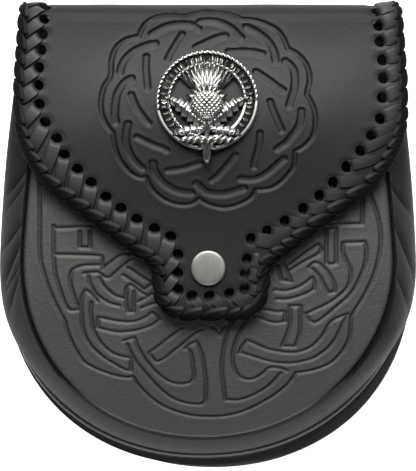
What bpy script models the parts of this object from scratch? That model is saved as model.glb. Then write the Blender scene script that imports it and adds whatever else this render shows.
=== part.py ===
"""Sporran pouch: a stiff leather pouch with a soft gusset, a laced flap, a snap and a cast badge.

It lies on its back as it would on a table. +X is the right as seen from the front, +Y runs up
to the fold of the flap, and +Z comes out of the front. The origin is under the middle of the
pouch, on the surface it lies on. Sizes below are in millimetres.
"""

import math
from collections import namedtuple

import bmesh
import bpy
import numpy as np
from mathutils import Matrix, Vector

MM = 0.001
GAP = 0.3

# Leather thicknesses
BACK_T = 2.4
FRONT_T = 2.4
GUSSET_T = 1.4
FLAP_T = 2.8
LOOP_T = 2.0
LACE_T = 1.1

# Outlines seen from the front: a rounded bottom below the widest line, and tapering sides above it
Rim = namedtuple("Rim", "half_width widest_y bottom_y power top_half_width top_y")
FRONT_RIM = Rim(78.9, -10.0, -85.5, 2.05, 70.5, 76.0)
WALL_FOOT_RIM = Rim(86.0, -12.0, -93.9, 2.1, 77.5, 80.0)
WELT_RIM = Rim(87.4, -12.0, -95.2, 2.1, 78.9, 80.0)
FLANGE_RIM = Rim(88.1, -12.0, -99.3, 2.1, 79.6, 80.0)
BACK_RIM = Rim(88.8, -12.0, -100.6, 2.1, 80.4, 80.0)
SIDE_TAPER_POWER = 1.3
BOTTOM_LEAN = -2.2          # the worn pouch hangs a little off its centre line at the bottom
SIDE_STATIONS = 11
BOTTOM_STATIONS = 40

# Front face: its height along the centre line, and how far it falls off to the sides
FRONT_PROFILE = (           # y, z
    (-100.0, 36.4),
    (-85.0, 37.4),
    (-54.0, 38.8),
    (-25.0, 37.9),
    (0.0, 35.7),
    (40.0, 30.9),
    (76.0, 26.2),
    (110.0, 21.8),
)
SIDE_FALL = 3.0
SIDE_FALL_AT = 78.0
MOUTH_DIP = 5.0             # thumb cut in the top edge of the front

# Back: flat below, lifted over the hanger loops above
BACK_LIFT = 6.9
LIFT_FROM, LIFT_TO = 0.0, 40.0
BACK_TOP_Y = 94.0
BACK_TOP_CORNER = 16.0
BACK_COLUMNS = 4

# Gusset: how far the soft wall bows out between its seams, and its main folds and swells
BOW_BOTTOM, BOW_SIDE = 1.2, 5.4
BOW_FROM_Y, BOW_TO_Y = -75.0, -25.0
BOW_PEAK = 1.5              # above 1, the fullest line lies nearer the back
GUSSET_ROWS = 4
INNER_TURN = 5.0
WALL_RISE = 2.9             # the wall stands straight beside the welt
Fold = namedtuple("Fold", "side y_front y_back width depth")
FOLDS = (
    Fold(-1, 28.6, 21.0, 3.2, -1.2),
    Fold(-1, 22.6, 13.0, 3.0, -1.0),
    Fold(-1, 3.2, -6.0, 3.2, -1.2),
    Fold(-1, -4.0, -18.0, 3.6, -1.7),
    Fold(-1, -19.0, -28.0, 3.2, -1.1),
    Fold(1, 20.6, 9.0, 3.4, -1.3),
    Fold(1, 0.6, -18.0, 4.0, -1.9),
    Fold(1, -21.0, -30.0, 3.2, -1.1),
    Fold(1, -40.0, -46.0, 16.0, 2.2),
)

# Flap: corners of its leather edge from the fold down to the tab, measured from its own axis
FLAP_AXIS = 1.3
FLAP_CLEARANCE = 2.1
Corner = namedtuple("Corner", "x y radius")
FLAP_CORNERS = (
    Corner(79.3, 97.0, 0.0),
    Corner(81.2, 66.0, 60.0),
    Corner(81.2, 31.5, 44.5),
    Corner(22.6, -12.2, 6.0),
    Corner(22.6, -33.8, 12.3),
    Corner(0.0, -33.8, 0.0),
)
FLAP_COLUMNS = 6
FOLD_Y = 90.6               # where the flap starts to turn over the top
FOLD_STEPS = 8
LAP_LENGTH = 18.0
LAP_HALF_WIDTH = 74.0

# Lacing round the flap
HOLE_INSET = 8.3
HOLE_DIAMETER = 4.3
HOLE_COUNT = 41
LACE_START_ARC = 14.0       # how far past the fold line the lacing starts
LACE_PROUD = 1.3
LACE_GAP = 0.5
LACE_INNER = 7.4            # from the leather edge in to the end of the strip
RIB_DEPTH = 0.5

# Snap
SNAP_X, SNAP_Y = 0.1, -14.0
CAP_DIAMETER, CAP_HEIGHT = 14.8, 2.3
SNAP_NECK_DIAMETER = 6.4
SOCKET_DIAMETER, SOCKET_T = 11.0, 0.9
STUD_DIAMETER = 3.8

# Badge
BADGE_X, BADGE_Y = -0.5, 57.0
BADGE_RING_DIAMETER = 44.0
BADGE_BAND = 6.4
BADGE_T = 2.0
BADGE_LIFT = 0.5
PIN_DIAMETER, PIN_SPAN = 3.0, 36.0
NUT_DIAMETER, NUT_T = 8.0, 1.0

# Hanger loops on the back, for the waist strap
LOOP_X = 38.0
LOOP_WIDTH = 18.0
LOOP_PATH = (               # y, z of the outer face, from the lower foot to the upper one
    (46.0, 4.6),
    (54.0, 4.6),
    (59.0, 0.0),
    (79.0, 0.0),
    (84.0, 4.6),
    (92.5, 4.6),
)
RIVET_Y = {"lower": 50.0, "upper": 87.2}
RIVET_SHANK, RIVET_HEAD, RIVET_HEAD_T = 3.0, 6.8, 1.1

COLOURS = {                 # name: base colour, roughness, metallic
    "body_leather": ((0.030, 0.030, 0.032), 0.48, 0.0),
    "gusset_leather": ((0.024, 0.024, 0.026), 0.52, 0.0),
    "lace_leather": ((0.020, 0.020, 0.022), 0.45, 0.0),
    "snap_metal": ((0.52, 0.52, 0.53), 0.38, 1.0),
    "badge_metal": ((0.62, 0.62, 0.63), 0.28, 1.0),
    "rivet_metal": ((0.40, 0.40, 0.42), 0.35, 1.0),
}


# ---- scene, collections and materials ----

for old in list(bpy.data.objects):
    bpy.data.objects.remove(old)

parts = bpy.data.collections.new("sporran_pouch")
cutters = bpy.data.collections.new("cutters")
bpy.context.scene.collection.children.link(parts)
bpy.context.scene.collection.children.link(cutters)


def material(name):
    found = bpy.data.materials.get(name)
    if found:
        return found
    colour, roughness, metallic = COLOURS[name]
    made = bpy.data.materials.new(name)
    made.use_nodes = True
    shader = made.node_tree.nodes["Principled BSDF"]
    shader.inputs["Base Color"].default_value = (*colour, 1.0)
    shader.inputs["Roughness"].default_value = roughness
    shader.inputs["Metallic"].default_value = metallic
    return made


def add_object(name, mesh, finish):
    """A mesh as a named part of the pouch, smooth over its shallow edges."""
    made = bpy.data.objects.new(name, mesh)
    mesh.materials.append(material(finish))
    mesh.shade_smooth()
    mesh.set_sharp_from_angle(angle=math.radians(40.0))
    parts.objects.link(made)
    return made


def as_cutter(name, mesh):
    made = bpy.data.objects.new(name, mesh)
    made.hide_render = True
    made.display_type = "WIRE"
    cutters.objects.link(made)
    return made


def bmesh_to_mesh(name, shape):
    mesh = bpy.data.meshes.new(name)
    shape.to_mesh(mesh)
    shape.free()
    return mesh


def cut(target, cutter, operation="DIFFERENCE"):
    boolean = target.modifiers.new(cutter.name, "BOOLEAN")
    boolean.operation = operation
    boolean.solver = "EXACT"
    boolean.object = cutter


def thicken(target, thickness, offset=-1.0):
    solid = target.modifiers.new("thickness", "SOLIDIFY")
    solid.thickness = thickness * MM
    solid.offset = offset
    solid.use_even_offset = True


def sheet(name, rows, finish, around=False):
    """A surface through rows of points; with around, each row is a closed ring."""
    count = len(rows[0])
    points = [Vector(point) * MM for row in rows for point in row]
    columns = count if around else count - 1
    faces = []
    for r in range(len(rows) - 1):
        for c in range(columns):
            n = (c + 1) % count
            faces.append((r * count + c, r * count + n,
                          (r + 1) * count + n, (r + 1) * count + c))
    mesh = bpy.data.meshes.new(name)
    mesh.from_pydata(points, [], faces)
    return add_object(name, mesh, finish)


def turned(name, profile, segments, finish):
    """A closed body turned from (radius, z) points that start and end on the axis."""
    shape = bmesh.new()
    line = [shape.verts.new((r * MM, 0.0, z * MM)) for r, z in profile]
    for a, b in zip(line, line[1:]):
        shape.edges.new((a, b))
    mesh = bmesh_to_mesh(name, shape)
    made = add_object(name, mesh, finish)
    screw = made.modifiers.new("turn", "SCREW")
    screw.angle = math.tau
    screw.steps = segments
    screw.render_steps = segments
    screw.use_merge_vertices = True
    screw.merge_threshold = 0.00001
    screw.use_smooth_shade = True
    return made


# ---- the surfaces that every piece follows ----

def smooth(t):
    t = min(max(t, 0.0), 1.0)
    return t * t * (3.0 - 2.0 * t)


def along(table, where):
    """A smooth reading of a two-column table (Catmull-Rom between its rows)."""
    xs = [row[0] for row in table]
    ys = [row[1] for row in table]
    i = int(np.clip(np.searchsorted(xs, where) - 1, 0, len(xs) - 2))
    slopes = []
    for k in (i, i + 1):
        low, high = max(k - 1, 0), min(k + 1, len(xs) - 1)
        slopes.append((ys[high] - ys[low]) / (xs[high] - xs[low]))
    span = xs[i + 1] - xs[i]
    t = (where - xs[i]) / span
    return ((2 * t**3 - 3 * t**2 + 1) * ys[i] + (t**3 - 2 * t**2 + t) * span * slopes[0]
            + (3 * t**2 - 2 * t**3) * ys[i + 1] + (t**3 - t**2) * span * slopes[1])


def front_height(x, y):
    """The outer face of the front panel, also carried on past its edge."""
    return along(FRONT_PROFILE, y) - SIDE_FALL * (x / SIDE_FALL_AT) ** 2


def back_height(y):
    """The outer (lower) face of the back panel."""
    return BACK_LIFT * smooth((y - LIFT_FROM) / (LIFT_TO - LIFT_FROM))


def lean(y):
    return BOTTOM_LEAN * smooth((WELT_RIM.widest_y - y) / 78.0)


def rim_point(rim, station):
    """A point of an outline. Stations run from the left end of the mouth down and round to
    the right end, and the same station lies at the same place on every outline."""
    side, total = SIDE_STATIONS, 2 * SIDE_STATIONS + BOTTOM_STATIONS
    if side <= station <= total - side:
        angle = math.pi * (station - side) / BOTTOM_STATIONS
        reach = abs(math.cos(angle)) ** (2 / rim.power)
        drop = abs(math.sin(angle)) ** (2 / rim.power)
        x = -math.copysign(reach, math.cos(angle)) * rim.half_width
        y = rim.widest_y - drop * (rim.widest_y - rim.bottom_y)
    else:
        left = station < side
        rise = 1 - station / side if left else 1 - (total - station) / side
        taper = (rim.half_width - rim.top_half_width) * rise**SIDE_TAPER_POWER
        x = (rim.half_width - taper) * (-1 if left else 1)
        y = rim.widest_y + rise * (rim.top_y - rim.widest_y)
    return x + lean(y), y


STATIONS = range(2 * SIDE_STATIONS + BOTTOM_STATIONS + 1)


def rounded(corners, step=5.0):
    """The line through corners with each one rounded to its radius, and its outward normals."""
    spots = [Vector((c.x, c.y)) for c in corners]
    line = [spots[0]]
    for i in range(1, len(spots) - 1):
        before = (spots[i - 1] - spots[i]).normalized()
        after = (spots[i + 1] - spots[i]).normalized()
        radius = corners[i].radius
        half = before.angle(after) / 2
        reach = radius / math.tan(half)
        centre = spots[i] + (before + after).normalized() * radius / math.sin(half)
        first, last = spots[i] + before * reach, spots[i] + after * reach
        turn = (first - centre).angle_signed(last - centre)
        pieces = max(2, round(abs(turn) * radius / step), round(abs(turn) / 0.3))
        for k in range(pieces + 1):
            arm = first - centre
            arm.rotate(Matrix.Rotation(-turn * k / pieces, 2))
            line.append(centre + arm)
    line.append(spots[-1])
    return line


def flap_frame(x):
    """The fold over the top at this distance from the axis: its centre (y, z) and radius."""
    start = math.atan(-(along(FRONT_PROFILE, FOLD_Y + 1) - along(FRONT_PROFILE, FOLD_Y - 1)) / 2)
    top = front_height(x, FOLD_Y) + FLAP_CLEARANCE + FLAP_T
    low = BACK_LIFT + BACK_T + GAP
    radius = (top - low) / (1 + math.cos(start))
    return FOLD_Y - radius * math.sin(start), low + radius, radius, start


FOLD_RADIUS = flap_frame(0.0)[2]
FOLD_LENGTH = FOLD_RADIUS * (math.pi - flap_frame(0.0)[3])


def flap_point(x, v, lift=FLAP_T):
    """A point of the flap: x across, v along the leather from the tab up and over the fold.
    lift is measured from the flap's inner face."""
    if v <= FOLD_Y:
        return x, v, front_height(x, v) + FLAP_CLEARANCE + lift
    y, z, radius, start = flap_frame(x)
    arm = radius - FLAP_T + lift
    angle = start + (v - FOLD_Y) / FOLD_RADIUS
    if angle < math.pi:
        return x, y + arm * math.sin(angle), z + arm * math.cos(angle)
    return x, y - (v - FOLD_Y - FOLD_LENGTH), z - arm


# ---- front panel, back panel ----

def fan(name, edge, centre, height, finish):
    """A panel with rings of points that close in from its edge to a centre."""
    rings = []
    for share in (1.0, 0.87, 0.56, 0.24):
        ring = []
        for x, y in edge:
            px = centre[0] + (x - centre[0]) * share
            py = centre[1] + (y - centre[1]) * share
            ring.append((px, py, height(px, py)))
        rings.append(ring)
    made = sheet(name, rings, finish, around=True)
    shape = bmesh.new()
    shape.from_mesh(made.data)
    shape.verts.ensure_lookup_table()
    inner = shape.verts[-len(edge):]
    hub = shape.verts.new(Vector((*centre, height(*centre))) * MM)
    for a, b in zip(inner, inner[1:] + inner[:1]):
        shape.faces.new((a, b, hub))
    shape.to_mesh(made.data)
    shape.free()
    return made


def front_panel():
    edge = [rim_point(FRONT_RIM, s) for s in STATIONS]
    (x_right, y_top), (x_left, _) = edge[-1], edge[0]
    for k in range(1, 10):
        t = k / 10
        edge.append((x_right + (x_left - x_right) * t,
                     y_top - MOUTH_DIP * smooth(math.sin(math.pi * t))))
    made = fan("front_panel", edge, (0.0, -6.0), front_height, "body_leather")
    thicken(made, FRONT_T)
    return made


def back_panel():
    """Rows across the panel from its bottom up to its rounded top corners."""
    half = BACK_RIM.top_half_width
    corners = (Corner(half, BACK_RIM.top_y, 0.0),
               Corner(half - 1.4, BACK_TOP_Y, BACK_TOP_CORNER * 0.8),
               Corner(0.0, BACK_TOP_Y, 0.0))
    last = STATIONS[-1]
    ends = [(rim_point(BACK_RIM, last // 2 - k), rim_point(BACK_RIM, last - last // 2 + k))
            for k in range(1, last // 2 + 1)]
    ends += [((-p.x, p.y), (p.x, p.y)) for p in rounded(corners)[1:-1]]
    rows = []
    for (x_left, y), (x_right, _) in ends:
        xs = np.linspace(x_left, x_right, BACK_COLUMNS + 1)
        rows.append([(float(x), y, back_height(y)) for x in xs])
    made = sheet("back_panel", rows, "body_leather")
    thicken(made, BACK_T, offset=1.0)
    return made


# ---- gusset and welt ----

def bow_at(side, y, across):
    """How far the gusset's wall stands out, across being 0 at the front and 1 at the back."""
    full = BOW_BOTTOM + (BOW_SIDE - BOW_BOTTOM) * smooth((y - BOW_FROM_Y) / (BOW_TO_Y - BOW_FROM_Y))
    swell = full * math.sin(math.pi * across**BOW_PEAK)
    for fold in FOLDS:
        if fold.side == side:
            line = fold.y_front + (fold.y_back - fold.y_front) * across
            near = math.exp(-((y - line) / fold.width) ** 2)
            swell += fold.depth * near * math.sin(math.pi * across**0.7)
    return swell


def gusset():
    rows = [[] for _ in range(GUSSET_ROWS + 5)]
    for s in STATIONS:
        fx, fy = rim_point(FRONT_RIM, s)
        wx, wy = rim_point(WALL_FOOT_RIM, s)
        gx, gy = rim_point(FLANGE_RIM, s)
        out = Vector((wx - fx, wy - fy))
        if s in (STATIONS[0], STATIONS[-1]):
            out = Vector((math.copysign(1.0, wx), 0.0))
        out.normalize()
        top = front_height(fx, fy) - FRONT_T - GAP
        foot = back_height(wy) + BACK_T + GAP + GUSSET_T
        section = []
        for inset in (INNER_TURN, 0.9):
            px, py = fx - out.x * inset, fy - out.y * inset
            section.append((px, py, front_height(px, py) - FRONT_T - GAP))
        side = math.copysign(1.0, wx - lean(wy))
        for k in range(GUSSET_ROWS + 1):
            t = k / GUSSET_ROWS
            stand = bow_at(side, wy, t)
            section.append((fx + (wx - fx) * t + out.x * stand,
                            fy + (wy - fy) * t + out.y * stand,
                            top - 1.1 + (foot + WALL_RISE - top + 1.1) * t))
        section.append((wx + out.x * 0.1, wy + out.y * 0.1, foot))
        section.append((gx, gy, back_height(gy) + BACK_T + GAP + GUSSET_T))
        for row, point in zip(rows, section):
            row.append(point)
    made = sheet("gusset", rows[::-1], "gusset_leather")
    thicken(made, GUSSET_T)
    return made


def welt():
    """The raised cord that lies in the corner between the gusset's wall and its outer flange."""
    radius = 1.0
    line = bpy.data.curves.new("seam_welt", "CURVE")
    line.dimensions = "3D"
    line.bevel_depth = radius * MM
    line.bevel_resolution = 1
    line.use_fill_caps = True
    spline = line.splines.new("POLY")
    path = []
    for s in STATIONS[1:-1]:
        x, y = rim_point(WELT_RIM, s)
        lift = BACK_T + GAP + GUSSET_T + GAP + radius
        path.append((x, y, back_height(y) + lift))
    spline.points.add(len(path) - 1)
    for point, place in zip(spline.points, path):
        point.co = (*(Vector(place) * MM), 1.0)
    line.materials.append(material("gusset_leather"))
    made = bpy.data.objects.new("seam_welt", line)
    parts.objects.link(made)
    return made


# ---- flap and its lacing ----

def flap_edge():
    """The flap's leather edge as (x, v) points, from the fold on the right round the tab to
    the fold on the left, in steps of about a millimetre, with outward normals."""
    half = rounded(FLAP_CORNERS)
    past = Vector((LAP_HALF_WIDTH + 4.0, FOLD_Y + FOLD_LENGTH))
    whole = [past] + half
    whole += [Vector((-p.x, p.y)) for p in reversed(whole[:-1])]
    lengths = np.cumsum([0.0] + [(b - a).length for a, b in zip(whole, whole[1:])])
    spots = np.linspace(0.0, lengths[-1], int(lengths[-1]))
    xs = np.interp(spots, lengths, [p.x for p in whole])
    vs = np.interp(spots, lengths, [p.y for p in whole])
    tangent = np.stack([np.gradient(xs), np.gradient(vs)], axis=1)
    tangent /= np.linalg.norm(tangent, axis=1)[:, None]
    normal = np.stack([-tangent[:, 1], tangent[:, 0]], axis=1)
    if normal[0][0] < 0:
        normal = -normal
    return np.stack([xs, vs], axis=1), normal


def laced_line(inset, count, ends=0.0):
    """count evenly spaced points on the line that runs inset from the flap's edge, between the
    two ends of the lacing."""
    edge, normal = flap_edge()
    line = edge - normal * inset
    keep = edge[:, 1] <= FOLD_Y + LACE_START_ARC
    line = line[keep]
    lengths = np.concatenate([[0.0], np.cumsum(np.linalg.norm(np.diff(line, axis=0), axis=1))])
    spots = np.linspace(ends, lengths[-1] - ends, count)
    return [(float(np.interp(s, lengths, line[:, 0])) + FLAP_AXIS,
             float(np.interp(s, lengths, line[:, 1]))) for s in spots]


def flap_normal(x, v):
    a = Vector(flap_point(x, v, 0.0))
    b = Vector(flap_point(x, v, 1.0))
    du = Vector(flap_point(x + 1, v)) - Vector(flap_point(x - 1, v))
    dv = Vector(flap_point(x, v + 0.5)) - Vector(flap_point(x, v - 0.5))
    normal = du.cross(dv).normalized()
    return normal if normal.dot(b - a) > 0 else -normal


def post(shape, place, normal, diameter, length, sides=6):
    """Adds a cylinder centred on place along normal, for cutting a hole."""
    turn = normal.to_track_quat("Z", "Y").to_matrix().to_4x4()
    bmesh.ops.create_cone(shape, cap_ends=True, segments=sides,
                          radius1=diameter / 2 * MM, radius2=diameter / 2 * MM,
                          depth=length * MM,
                          matrix=Matrix.Translation(Vector(place) * MM) @ turn)


def flap():
    """The flap from its lap inside the back, over the fold, down to the tab."""
    half = rounded(FLAP_CORNERS)
    rows = [(p.x, p.y) for p in reversed(half) if p.x > 1.0 and p.y < FOLD_Y - 1.0]
    wide = half[0].x
    for k in range(FOLD_STEPS + 1):
        share = k / FOLD_STEPS
        rows.append((wide + (LAP_HALF_WIDTH - wide) * share, FOLD_Y + FOLD_LENGTH * share))
    rows.append((LAP_HALF_WIDTH, FOLD_Y + FOLD_LENGTH + LAP_LENGTH / 2))
    rows.append((LAP_HALF_WIDTH, FOLD_Y + FOLD_LENGTH + LAP_LENGTH))
    grid = []
    for wide, v in rows:
        grid.append([flap_point(FLAP_AXIS + wide * (2 * c / FLAP_COLUMNS - 1), v)
                     for c in range(FLAP_COLUMNS + 1)])
    made = sheet("flap", grid, "body_leather")
    thicken(made, FLAP_T)
    made.modifiers.new("triangles", "TRIANGULATE")

    holes = bmesh.new()
    for x, v in laced_line(HOLE_INSET, HOLE_COUNT, ends=2.0):
        post(holes, flap_point(x, v, FLAP_T / 2), flap_normal(x, v), HOLE_DIAMETER, 3 * FLAP_T)
    snap = flap_point(SNAP_X, SNAP_Y, FLAP_T / 2)
    post(holes, snap, flap_normal(SNAP_X, SNAP_Y), SNAP_NECK_DIAMETER + 2 * GAP, 2 * FLAP_T, 16)
    for side in (-1, 1):
        x = BADGE_X + side * PIN_SPAN / 2
        post(holes, flap_point(x, BADGE_Y, FLAP_T / 2), flap_normal(BADGE_X, BADGE_Y),
             PIN_DIAMETER + 2 * GAP, 2 * FLAP_T, 12)
        lap = BACK_LIFT + BACK_T + GAP + FLAP_T / 2
        post(holes, (side * LOOP_X, RIVET_Y["upper"], lap), Vector((0, 0, 1)),
             RIVET_SHANK + 2 * GAP, 2 * FLAP_T, 12)
    cut(made, as_cutter("flap_holes", bmesh_to_mesh("flap_holes", holes)))
    return made


def flap_lace():
    """One braided strip that hugs the flap's edge, with a rib for each stitch."""
    count = 2 * HOLE_COUNT + 1
    lines = {inset: laced_line(inset, count)
             for inset in (LACE_INNER, 1.2, -LACE_GAP, -LACE_PROUD)}
    over, under = FLAP_T + LACE_GAP, -LACE_GAP
    rows = []
    for k in range(count):
        rib = 0.0 if k % 2 else RIB_DEPTH
        inner, near, gap, nose = (lines[i][k] for i in (LACE_INNER, 1.2, -LACE_GAP, -LACE_PROUD))
        if k % 2:
            nose = tuple((np.array(nose) + np.array(gap)) / 2)
        section = (
            (inner, over), (inner, over + LACE_T - RIB_DEPTH + rib),
            (near, over + LACE_T - RIB_DEPTH + rib), (nose, over - 0.3),
            (nose, under + 0.3), (near, under - LACE_T + RIB_DEPTH - rib),
            (inner, under - LACE_T + RIB_DEPTH - rib), (inner, under),
            (gap, under), (gap, over),
        )
        rows.append([flap_point(*spot, lift) for spot, lift in section])
    made = sheet("flap_lace", rows, "lace_leather", around=True)
    shape = bmesh.new()
    shape.from_mesh(made.data)
    shape.verts.ensure_lookup_table()
    ring = len(rows[0])
    shape.faces.new(shape.verts[:ring])
    shape.faces.new(list(reversed(shape.verts[-ring:])))
    bmesh.ops.recalc_face_normals(shape, faces=shape.faces)
    shape.to_mesh(made.data)
    shape.free()
    return made


# ---- snap, badge, loops and rivets ----

def stand(target, place, normal):
    """Puts a piece on a surface: its Z along the surface's normal, its X still across."""
    up = normal.cross(Vector((1.0, 0.0, 0.0))).normalized()
    turn = Matrix((up.cross(normal), up, normal)).transposed()
    target.location = Vector(place) * MM
    target.rotation_euler = turn.to_euler()
    return turn


def snap():
    normal = flap_normal(SNAP_X, SNAP_Y)
    cap, neck = CAP_DIAMETER / 2, SNAP_NECK_DIAMETER / 2
    bore = STUD_DIAMETER / 2 + GAP
    base, plate = FLAP_T + GAP, -GAP
    profile = (
        (0.0, base + CAP_HEIGHT), (cap - 2.6, base + CAP_HEIGHT - 0.1),
        (cap - 1.0, base + CAP_HEIGHT - 0.5), (cap, base + 0.9), (cap, base + 0.2),
        (cap - 0.6, base), (neck, base), (neck, plate), (SOCKET_DIAMETER / 2, plate),
        (SOCKET_DIAMETER / 2, plate - SOCKET_T), (bore, plate - SOCKET_T),
        (bore, FLAP_T * 0.55), (0.0, FLAP_T * 0.55),
    )
    stand(turned("snap_cap", profile, 20, "snap_metal"),
          flap_point(SNAP_X, SNAP_Y, 0.0), normal)
    stud = STUD_DIAMETER / 2
    top = FLAP_CLEARANCE + FLAP_T * 0.55 - GAP
    profile = (
        (0.0, top), (stud - 0.7, top), (stud, top - 0.8), (stud - 0.4, 1.6), (stud - 0.2, 0.6),
        (stud + 1.6, 0.6), (stud + 1.8, GAP), (stud - 0.2, GAP), (stud - 0.2, -FRONT_T - GAP),
        (5.0, -FRONT_T - GAP), (5.0, -FRONT_T - GAP - 0.9), (0.0, -FRONT_T - GAP - 0.9),
    )
    place = (SNAP_X, SNAP_Y, front_height(SNAP_X, SNAP_Y))
    stand(turned("snap_stud", profile, 14, "snap_metal"), place, normal)
    hole = bmesh.new()
    post(hole, (place[0], place[1], place[2] - FRONT_T / 2), normal,
         STUD_DIAMETER - 0.4 + 2 * GAP, 3 * FRONT_T, 16)
    return as_cutter("stud_hole", bmesh_to_mesh("stud_hole", hole))


def leaf(name, length, width, bend, rise):
    """A pointed leaf blade in outline, given its thickness by extrusion."""
    curve = bpy.data.curves.new(name, "CURVE")
    curve.dimensions = "2D"
    curve.fill_mode = "BOTH"
    curve.extrude = rise / 2 * MM
    spline = curve.splines.new("POLY")
    steps = 5
    upper, lower = [], []
    for k in range(steps + 1):
        t = k / steps
        half = width / 2 * math.sin(math.pi * t) ** 0.8 * (1.0 if k % 2 else 0.72)
        mid = bend * math.sin(math.pi * t / 2)
        upper.append((length * t, mid + half))
        lower.append((length * t, mid - half))
    points = upper + lower[-2:0:-1]
    spline.points.add(len(points) - 1)
    for point, (x, y) in zip(spline.points, points):
        point.co = (x * MM, y * MM, 0.0, 1.0)
    spline.use_cyclic_u = True
    return curve


def mesh_of_curve(name, curve, matrix):
    """A curve as a closed mesh with its place applied."""
    holder = bpy.data.objects.new(name, curve)
    parts.objects.link(holder)
    bpy.context.view_layer.update()
    found = holder.evaluated_get(bpy.context.evaluated_depsgraph_get())
    mesh = bpy.data.meshes.new_from_object(found)
    bpy.data.objects.remove(holder)
    shape = bmesh.new()
    shape.from_mesh(mesh)
    bmesh.ops.remove_doubles(shape, verts=shape.verts, dist=0.000005)
    bmesh.ops.recalc_face_normals(shape, faces=shape.faces)
    shape.transform(matrix)
    return bmesh_to_mesh(name, shape)


def badge():
    """A cast thistle in an open ring, with two pins through the flap."""
    outer = BADGE_RING_DIAMETER / 2
    inner = outer - BADGE_BAND
    ring = turned("badge", (
        (inner, 0.0), (outer, 0.0), (outer, BADGE_T), (outer - 0.7, BADGE_T + 0.5),
        (outer - 1.4, BADGE_T), (outer - 1.6, BADGE_T - 0.6), (inner + 1.6, BADGE_T - 0.6),
        (inner + 1.4, BADGE_T), (inner + 0.7, BADGE_T + 0.5), (inner, BADGE_T), (inner, 0.0),
    ), 32, "badge_metal")

    parts_of_thistle = bmesh.new()
    bmesh.ops.create_uvsphere(parts_of_thistle, u_segments=12, v_segments=6, radius=1.0)
    for v in parts_of_thistle.verts:
        v.co = Vector((v.co.x * 8.0, v.co.y * 7.4 - 1.0, v.co.z * 2.6 + 2.7)) * MM
    cut(ring, as_cutter("thistle_head", bmesh_to_mesh("thistle_head", parts_of_thistle)), "UNION")

    for k, (turn, length) in enumerate(((-34, 17.0), (-17, 21.0), (0, 23.5), (17, 21.0), (34, 17.0))):
        blade = leaf(f"tuft_{k}", length, 4.6, 0.0, 2.2)
        place = (Matrix.Translation(Vector((0.0, 3.0, 1.5 + 0.13 * k)) * MM)
                 @ Matrix.Rotation(math.radians(90 - turn), 4, "Z"))
        cut(ring, as_cutter(f"tuft_{k}", mesh_of_curve(f"tuft_{k}", blade, place)), "UNION")
    for k, side in enumerate((-1, 1)):
        blade = leaf(f"leaf_{k}", 23.0, 8.6, 4.0 * side, 2.1)
        place = (Matrix.Translation(Vector((0.0, -13.5, 1.62 + 0.17 * k)) * MM)
                 @ Matrix.Rotation(math.radians(90 - side * 62), 4, "Z"))
        cut(ring, as_cutter(f"leaf_{k}", mesh_of_curve(f"leaf_{k}", blade, place)), "UNION")
    stem = leaf("stem", 24.0, 4.2, 0.0, 2.5)
    place = (Matrix.Translation(Vector((0.0, -6.0, 1.45)) * MM)
             @ Matrix.Rotation(math.radians(-90), 4, "Z"))
    cut(ring, as_cutter("stem", mesh_of_curve("stem", stem, place)), "UNION")

    length = FLAP_T + BADGE_LIFT + NUT_T + GAP
    pins = bmesh.new()
    for side in (-1, 1):
        post(pins, (side * PIN_SPAN / 2, 0.0, 0.5 - length / 2), Vector((0, 0, 1)),
             PIN_DIAMETER, length + 1.0, 10)
    cut(ring, as_cutter("badge_pins", bmesh_to_mesh("badge_pins", pins)), "UNION")

    normal = flap_normal(BADGE_X, BADGE_Y)
    base = Vector(flap_point(BADGE_X, BADGE_Y)) + normal * BADGE_LIFT
    for item in [ring] + [c for c in cutters.objects
                          if c.name.startswith(("tuft", "leaf", "stem", "thistle", "badge_pins"))]:
        stand(item, base, normal)
    turn = stand(ring, base, normal)
    for side, name in ((-1, "left"), (1, "right")):
        place = base + turn @ Vector((side * PIN_SPAN / 2, 0.0, -BADGE_LIFT - FLAP_T - GAP))
        bore = PIN_DIAMETER / 2 + GAP
        nut = turned(f"badge_nut_{name}", (
            (bore, 0.0), (NUT_DIAMETER / 2, 0.0), (NUT_DIAMETER / 2, -NUT_T), (bore, -NUT_T),
            (bore, 0.0)), 12, "rivet_metal")
        stand(nut, place, normal)


def hanger_loop(name, x):
    rows = []
    for y, z in LOOP_PATH:
        rows.append([(x - LOOP_WIDTH / 2, y, z), (x + LOOP_WIDTH / 2, y, z)])
    made = sheet(name, rows, "body_leather")
    thicken(made, LOOP_T, offset=1.0)
    return made


def rivet(name, x, y, top):
    """A tubular rivet: a head under the loop's foot and a cap inside the pouch."""
    low = LOOP_PATH[0][1] - GAP
    high = top + GAP
    head, shank = RIVET_HEAD / 2, RIVET_SHANK / 2
    made = turned(name, (
        (0.0, high + RIVET_HEAD_T), (head - 1.0, high + RIVET_HEAD_T), (head, high + 0.4),
        (head, high), (shank, high), (shank, low), (head, low), (head, low - 0.4),
        (head - 1.0, low - RIVET_HEAD_T), (0.0, low - RIVET_HEAD_T)), 8, "rivet_metal")
    made.location = Vector((x, y, 0.0)) * MM


def loops_and_rivets(back):
    holes = bmesh.new()
    for side, word in ((-1, "left"), (1, "right")):
        x = side * LOOP_X
        loop = hanger_loop(f"hanger_loop_{word}", x)
        foot_holes = bmesh.new()
        for where, y in RIVET_Y.items():
            layers = BACK_LIFT + BACK_T + (GAP + FLAP_T if where == "upper" else 0.0)
            rivet(f"rivet_{where}_{word}", x, y, layers)
            for shape, z in ((holes, BACK_LIFT + BACK_T / 2), (foot_holes, 4.6 + LOOP_T / 2)):
                post(shape, (x, y, z), Vector((0, 0, 1)), RIVET_SHANK + 2 * GAP, 3.4, 12)
        cut(loop, as_cutter(f"foot_holes_{word}", bmesh_to_mesh(f"foot_holes_{word}", foot_holes)))
    cut(back, as_cutter("back_holes", bmesh_to_mesh("back_holes", holes)))


# ---- the pouch ----

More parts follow.
